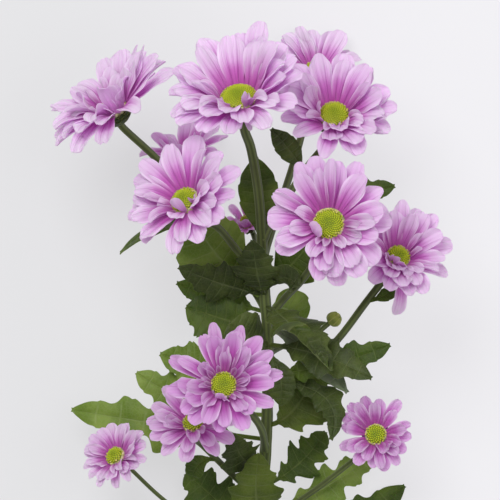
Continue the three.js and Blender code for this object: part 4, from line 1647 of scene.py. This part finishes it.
@dataclass
class DiscFlorets:
    """The dome of small disc florets in the middle of a bloom: open tubes at the rim and closed buds within.

    Attributes:
        bud: The mould of a closed floret.
        tube: The mould of an open one.
        spacing: How far apart the florets stand, in millimetres.
        crowding: How many there are where both the disc's radius and the spacing are 1.
        open_from: Where the open florets start, as a share of the disc's radius.
        open_lean: How much further the open ones lean outward for each share beyond that.
        edge: How far out the outermost florets stand, as a share of the disc's radius.
        wall: How wide the dome under them is at its foot, as a share of it too.
        wall_height: How high that foot is.
        dome: Where the rings of the dome are, as shares of it again.
        size: How wide the middle floret is for the spacing.
        size_rise: How much wider the outermost are.
        size_spread: How much they differ.
    """

    bud: Mould
    tube: Mould
    spacing: float = 0.9
    crowding: float = 3.4
    open_from: float = 0.88
    open_lean: float = 2.1
    edge: float = 0.9
    wall: float = 0.92
    wall_height: float = 0.3
    dome: tuple[float, ...] = (0.85, 0.65, 0.4, 0.15)
    size: float = 0.4
    size_rise: float = 0.12
    size_spread: float = 0.05

    @classmethod
    def moulded(cls) -> tuple[Mould, Mould]:
        """Models a closed floret and an open one, each with a radius of 1 and its foot at the origin.

        Returns:
            The two moulds.
        """
        bud = Bench.turned([(0.7, -0.8), (0.95, 0.1), (1, 0.9), (0.75, 1.5), (0.3, 1.75)], 6)
        closed = Mould.taken_from(bud)
        tube = Bench.turned([(0.5, -0.8), (0.6, 0.8), (0.9, TUBE_RIM), (0.45, 1.9), (0.4, 1.2)], 10)
        Bench.edit(tube)
        Bench.pick(tube, lambda vertex: cls._on_lobe(vertex.co))
        bpy.ops.transform.resize(value=(LOBE_SPREAD, LOBE_SPREAD, 1), center_override=(0, 0, TUBE_RIM))
        bpy.ops.transform.translate(value=(0, 0, LOBE_RISE))
        Bench.take()
        return closed, Mould.taken_from(tube)

    @staticmethod
    def _on_lobe(place: Vector) -> bool:
        """Whether a point of a tube is on its rim, at the tip of one of its five lobes."""
        return abs(place.z - TUBE_RIM) < 0.01 and math.cos(5 * math.atan2(place.x, place.y)) > 0

    def build(self, plan: BloomPlan, disc_skin: Material, hub_skin: Material) -> None:
        """Lays a bloom's disc florets in their spiral and sets the hub under them.

        Args:
            plan: The bloom.
            disc_skin: The florets' finish.
            hub_skin: The hub's finish.
        """
        bunch = Bunch()
        foot = HUB_HEIGHT + SEAT_GAP
        seat = foot + self.wall_height
        top = DOME_SHARE * plan.disc + DOME_EDGE
        profile = [(self.wall * plan.disc, foot - 0.1), (self.wall * plan.disc, seat)]
        profile += [(plan.disc * part, seat + top * (1 - part * part)) for part in self.dome]
        # The dome's upper value of 0.35 puts it mostly in the disc's painted gap shade.
        bunch.add_round(plan, profile, ROUND_SIDES, upper=0.35, tone=0.5, along=0.4)
        count = round(self.crowding * (plan.disc / self.spacing) ** 2)
        for index in range(count):
            part = math.sqrt((index + 0.5) / count)
            turn = GOLDEN_ANGLE * index
            seed = DISC_SEED + DISC_BLOOM_SEED * int(plan.name) + index
            beyond = part - self.open_from
            mould = self.tube if beyond > 0 else self.bud
            size = (self.size + self.size_rise * part + self.size_spread * scatter(seed)) * self.spacing
            out = np.array([math.cos(turn), math.sin(turn), 0])
            slope = math.atan(2 * DOME_SHARE * part) + self.open_lean * max(beyond, 0)
            up = out * math.sin(slope) + np.array([0, 0, math.cos(slope)])
            side = np.cross(up, out)
            root = out * part * plan.disc * self.edge
            root[2] = seat + top * (1 - part * part)
            points = root + (mould.points * size) @ np.array([np.cross(side, up), side, up])
            bunch.add(mould, plan.placed(points), tone=0.5 + 0.5 * scatter(seed + 0.3), along=part)
        piece = bunch.grown(f"disc_florets_{plan.name}", disc_skin, 80)
        hand_over(piece, "disc_lime", f"bloom_{plan.name}_disc")
        self._hub(plan, hub_skin)

    @staticmethod
    def _hub(plan: BloomPlan, material: Material) -> None:
        """Models the pale hub between the cup and the disc.

        Args:
            plan: The bloom.
            material: Its finish.
        """
        radius = plan.disc + HUB_OVER_DISC
        rings = ((0.9, -0.2), (1, 0.3), (1, HUB_HEIGHT), (0.94, HUB_HEIGHT + 0.4))
        bunch = Bunch()
        bunch.add_round(plan, [(radius * share, height) for share, height in rings], HUB_SIDES)
        hand_over(bunch.grown(f"hub_{plan.name}", material), "ray_pink")


LEAF_SEED = 300
LEAF_LENGTH = 40
LEAF_HALF_WIDTH = 10
# Where a leaf starts, as a share of its stem's radius
LEAF_ROOT = 0.7
# How far, for its width, a leaf folds up, its lobes sweep forward, its edges wave, it puffs up between the
# veins, its edges droop and its tip curls, and how its two sides differ
LEAF_FOLD = 0.14
LEAF_SWEEP = 0.36
LEAF_WAVE = 0.1
LEAF_WAVES = 2.2
LEAF_PUFF = 0.05
LEAF_DROOP = 0.12
LEAF_CURL = 0.04
PUFF_SLANT = 0.03
SIDE_BEAT = 0.3
# The leaf of which one edge curls over: from how far out and how far up, how far in degrees, and how tightly
CURLED_LEAF = 13
CURL_HINGE = 0.25
CURL_FROM = 0.45
CURL_RUN = 0.15
CURL_OVER = 165
CURL_LENGTH = 3
CURL_RISE = 1.2
# The stalk's share of a leaf's length, its radius, how much thicker than the blade it and the midrib are, and
# over what share of the length beyond it the edges start to wave
PETIOLE_SHARE = 0.2
PETIOLE_RADIUS = 0.9
PETIOLE_THICK = 3.2
MIDRIB_THICK = 0.6
BLADE_RISE = 0.1


@dataclass
class Leaves:
    """The leaves: thin lobed blades that fold a little along the midrib, wave and droop at their edges.

    Attributes:
        stem: The stems that they grow from.
        moulds: The blade for each kind of outline.
        skins: The finish for each tone.
    """

    stem: Stem
    moulds: dict[Cut, Mould]
    skins: dict[LeafTone, Material]

    @staticmethod
    def moulded() -> dict[Cut, Mould]:
        """Models one flat blade with each outline."""
        return {
            cut: BladeForm(
                length=LEAF_LENGTH,
                half_width=LEAF_HALF_WIDTH,
                outline=cut.value,
                columns=12,
                rows=40 if cut == PLAIN else 112,
                thickness=0.35,
            ).make()
            for cut in Cut
        }

    def _base(self, plan: LeafPlan) -> np.ndarray:
        """Where a leaf's stalk starts, just under the skin of its stem.

        Args:
            plan: The leaf.

        Returns:
            The point.
        """
        line = self.stem.lines[plan.on]
        axis, along = line.at(plan.leaves), line.along(plan.leaves)
        away = np.array(plan.via) - axis
        away = unit(away - along * (away @ along))
        return axis + away * (LEAF_ROOT * self.stem.radius(plan.on, plan.leaves))

    def _bent(self, plan: LeafPlan, number: int) -> np.ndarray:
        """A mould's points, bent along the leaf's midrib.

        Args:
            plan: The leaf.
            number: Its number, which makes its waves its own.

        Returns:
            The points, in millimetres from the middle of the head.
        """
        mould = self.moulds[plan.cut]
        seed = LEAF_SEED + number
        across, v = 2 * mould.skin[:, 0] - 1, mould.skin[:, 1]
        out, share = np.abs(across), v[:, None]
        base, via, tip = self._base(plan), np.array(plan.via), np.array(plan.tip)
        middle = (1 - share) ** 2 * base + 2 * share * (1 - share) * via + share**2 * tip
        ahead = unit((1 - share) * (via - base) + share * (tip - via))
        side = unit(np.cross(ahead, unit(np.array(plan.faces, float))))
        normal = np.cross(side, ahead)
        half = np.maximum(eased(plan.cut.value, v) * plan.width / 2, PETIOLE_RADIUS)
        blade = np.clip((v - PETIOLE_SHARE) / BLADE_RISE, 0, 1)
        beat = LEAF_WAVES * v + scatter(seed) + SIDE_BEAT * np.sign(across)
        waves = LEAF_WAVE * np.sin(2 * math.pi * beat)
        puff = LEAF_PUFF * np.cos(2 * math.pi * VEINS * (v + PUFF_SLANT * out)) * out * (1 - out)
        edges = blade * (waves * out**2 + puff - LEAF_DROOP * out**3)
        thick = np.where(v < PETIOLE_SHARE, PETIOLE_THICK, 1) * (1 + MIDRIB_THICK * (1 - out) * (1 - v))
        curl = LEAF_CURL * plan.width * scatter(seed + 0.5) * v**2
        sideways = half * across
        upward = half * (LEAF_FOLD * out**0.8 + edges) + mould.points[:, 2] * thick + curl
        if number == CURLED_LEAF:
            over = np.clip((v - CURL_FROM) / CURL_RUN, 0, 1) * math.radians(CURL_OVER)
            beyond = half * np.clip(across - CURL_HINGE, 0, None)
            angle = over * np.clip(beyond / CURL_LENGTH, 0, 1)
            sideways = sideways - beyond * (1 - np.cos(angle))
            upward = upward + beyond * np.sin(angle) + CURL_RISE * (beyond > 0) * np.sin(angle / 2)
        sweep = LEAF_SWEEP * half * out * (v > PETIOLE_SHARE)
        return middle + side * sideways[:, None] + normal * upward[:, None] + ahead * sweep[:, None]

    def build(self) -> None:
        """Bends every leaf and hands it over."""
        for number, plan in enumerate(LEAVES, 1):
            bunch = Bunch()
            bunch.add(self.moulds[plan.cut], self._bent(plan, number))
            piece = bunch.grown(f"leaf_blade_{number:02d}", self.skins[plan.tone])
            hand_over(piece, "leaf_green", f"leaf_{number:02d}")


# The table, the light and the camera


@dataclass
class Studio:
    """A plain pale table under soft light from the upper left, looked down on from far off.

    Attributes:
        table_side: How long each side of the table is, in metres.
        camera_height: How far over the table the camera is, in metres.
        frame_side: How much of the flower head's plane the picture shows, in metres.
        head_height: How high over the table that plane is, in metres.
        sensor: The width of the camera's sensor, in millimetres.
        sky: How bright the light from all round is.
        lamps: For a strong lamp and a weak one, where it is from the head and its width, in metres, and its
            power, in watts.
    """

    table_side: float = 6
    camera_height: float = 4
    frame_side: float = 0.21
    head_height: float = 0.075
    sensor: float = 36
    sky: float = 0.38
    lamps: tuple[tuple[Point, float, float], ...] = (((-0.45, 0.85, 1.8), 1, 27), ((0.8, 0.1, 1.8), 1.2, 9.5))

    def build(self) -> None:
        """Sets up the table, the light and the camera."""
        scene = bpy.context.scene
        scene.view_settings.view_transform = "Standard"
        Bench.take()
        bpy.ops.mesh.primitive_plane_add(size=self.table_side, location=(0, 0, 0))
        table = bpy.context.object
        table.name = "table"
        table.data.materials.append(TableFinish().make())
        world = bpy.data.worlds.new("soft_white")
        world.use_nodes = True
        background = world.node_tree.nodes["Background"]
        background.inputs["Color"].default_value = (1.0, 1.0, 1.0, 1.0)
        background.inputs["Strength"].default_value = self.sky
        scene.world = world
        head = Vector(HEAD_MIDDLE * MM) + Vector((0, 0, self.head_height))
        for place, size, power in self.lamps:
            self._lamp(head + Vector(place), head, size, power)
        self._camera(head)

    @staticmethod
    def _lamp(at: Vector, aim: Vector, size: float, power: float) -> None:
        """Adds one large soft lamp.

        Args:
            at: Where it hangs.
            aim: What it points at.
            size: How wide it is, in metres.
            power: How strong it is, in watts.
        """
        light = bpy.data.lights.new("soft_lamp", "AREA")
        light.energy = power
        light.size = size
        lamp = Bench.add("soft_lamp", light)
        lamp.location = at
        lamp.rotation_euler = (aim - at).to_track_quat("-Z", "Y").to_euler()

    def _camera(self, head: Vector) -> None:
        """Adds the camera, which looks straight down.

        Args:
            head: The middle of the flower head, which it looks at.
        """
        data = bpy.data.cameras.new("camera")
        data.sensor_width = self.sensor
        data.lens = self.sensor * (self.camera_height - self.head_height) / self.frame_side
        data.clip_end = 100
        camera = Bench.add("camera", data)
        camera.location = (head.x, head.y, self.camera_height)
        bpy.context.scene.camera = camera


def write_sizes() -> None:
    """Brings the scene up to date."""
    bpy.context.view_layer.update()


def main() -> None:
    """Models every piece and sets up the picture."""
    stem = Stem()
    stem.build()
    Leaves(stem, Leaves.moulded(), {tone: LeafFinish(tone).make() for tone in LeafTone}).build()
    bract = BRACT.make()
    bud_skin = BractFinish("bud_green", paint(120, 132, 60), paint(150, 160, 70), paint(170, 170, 96))
    Bud(bract).build(bud_skin.make())
    cups, bract_skin = Cups(bract), BractFinish().make()
    rays, ray_skin = RayFlorets.moulded(), RayFinish().make()
    discs = DiscFlorets(*DiscFlorets.moulded())
    disc_skin, hub_skin = DiscFinish().make(), HubFinish().make()
    for plan in BLOOMS:
        RayFlorets(plan, rays).build(ray_skin)
        discs.build(plan, disc_skin, hub_skin)
        cups.build(plan, bract_skin)
    Studio().build()
    write_sizes()


if __name__ == "__main__":
    main()
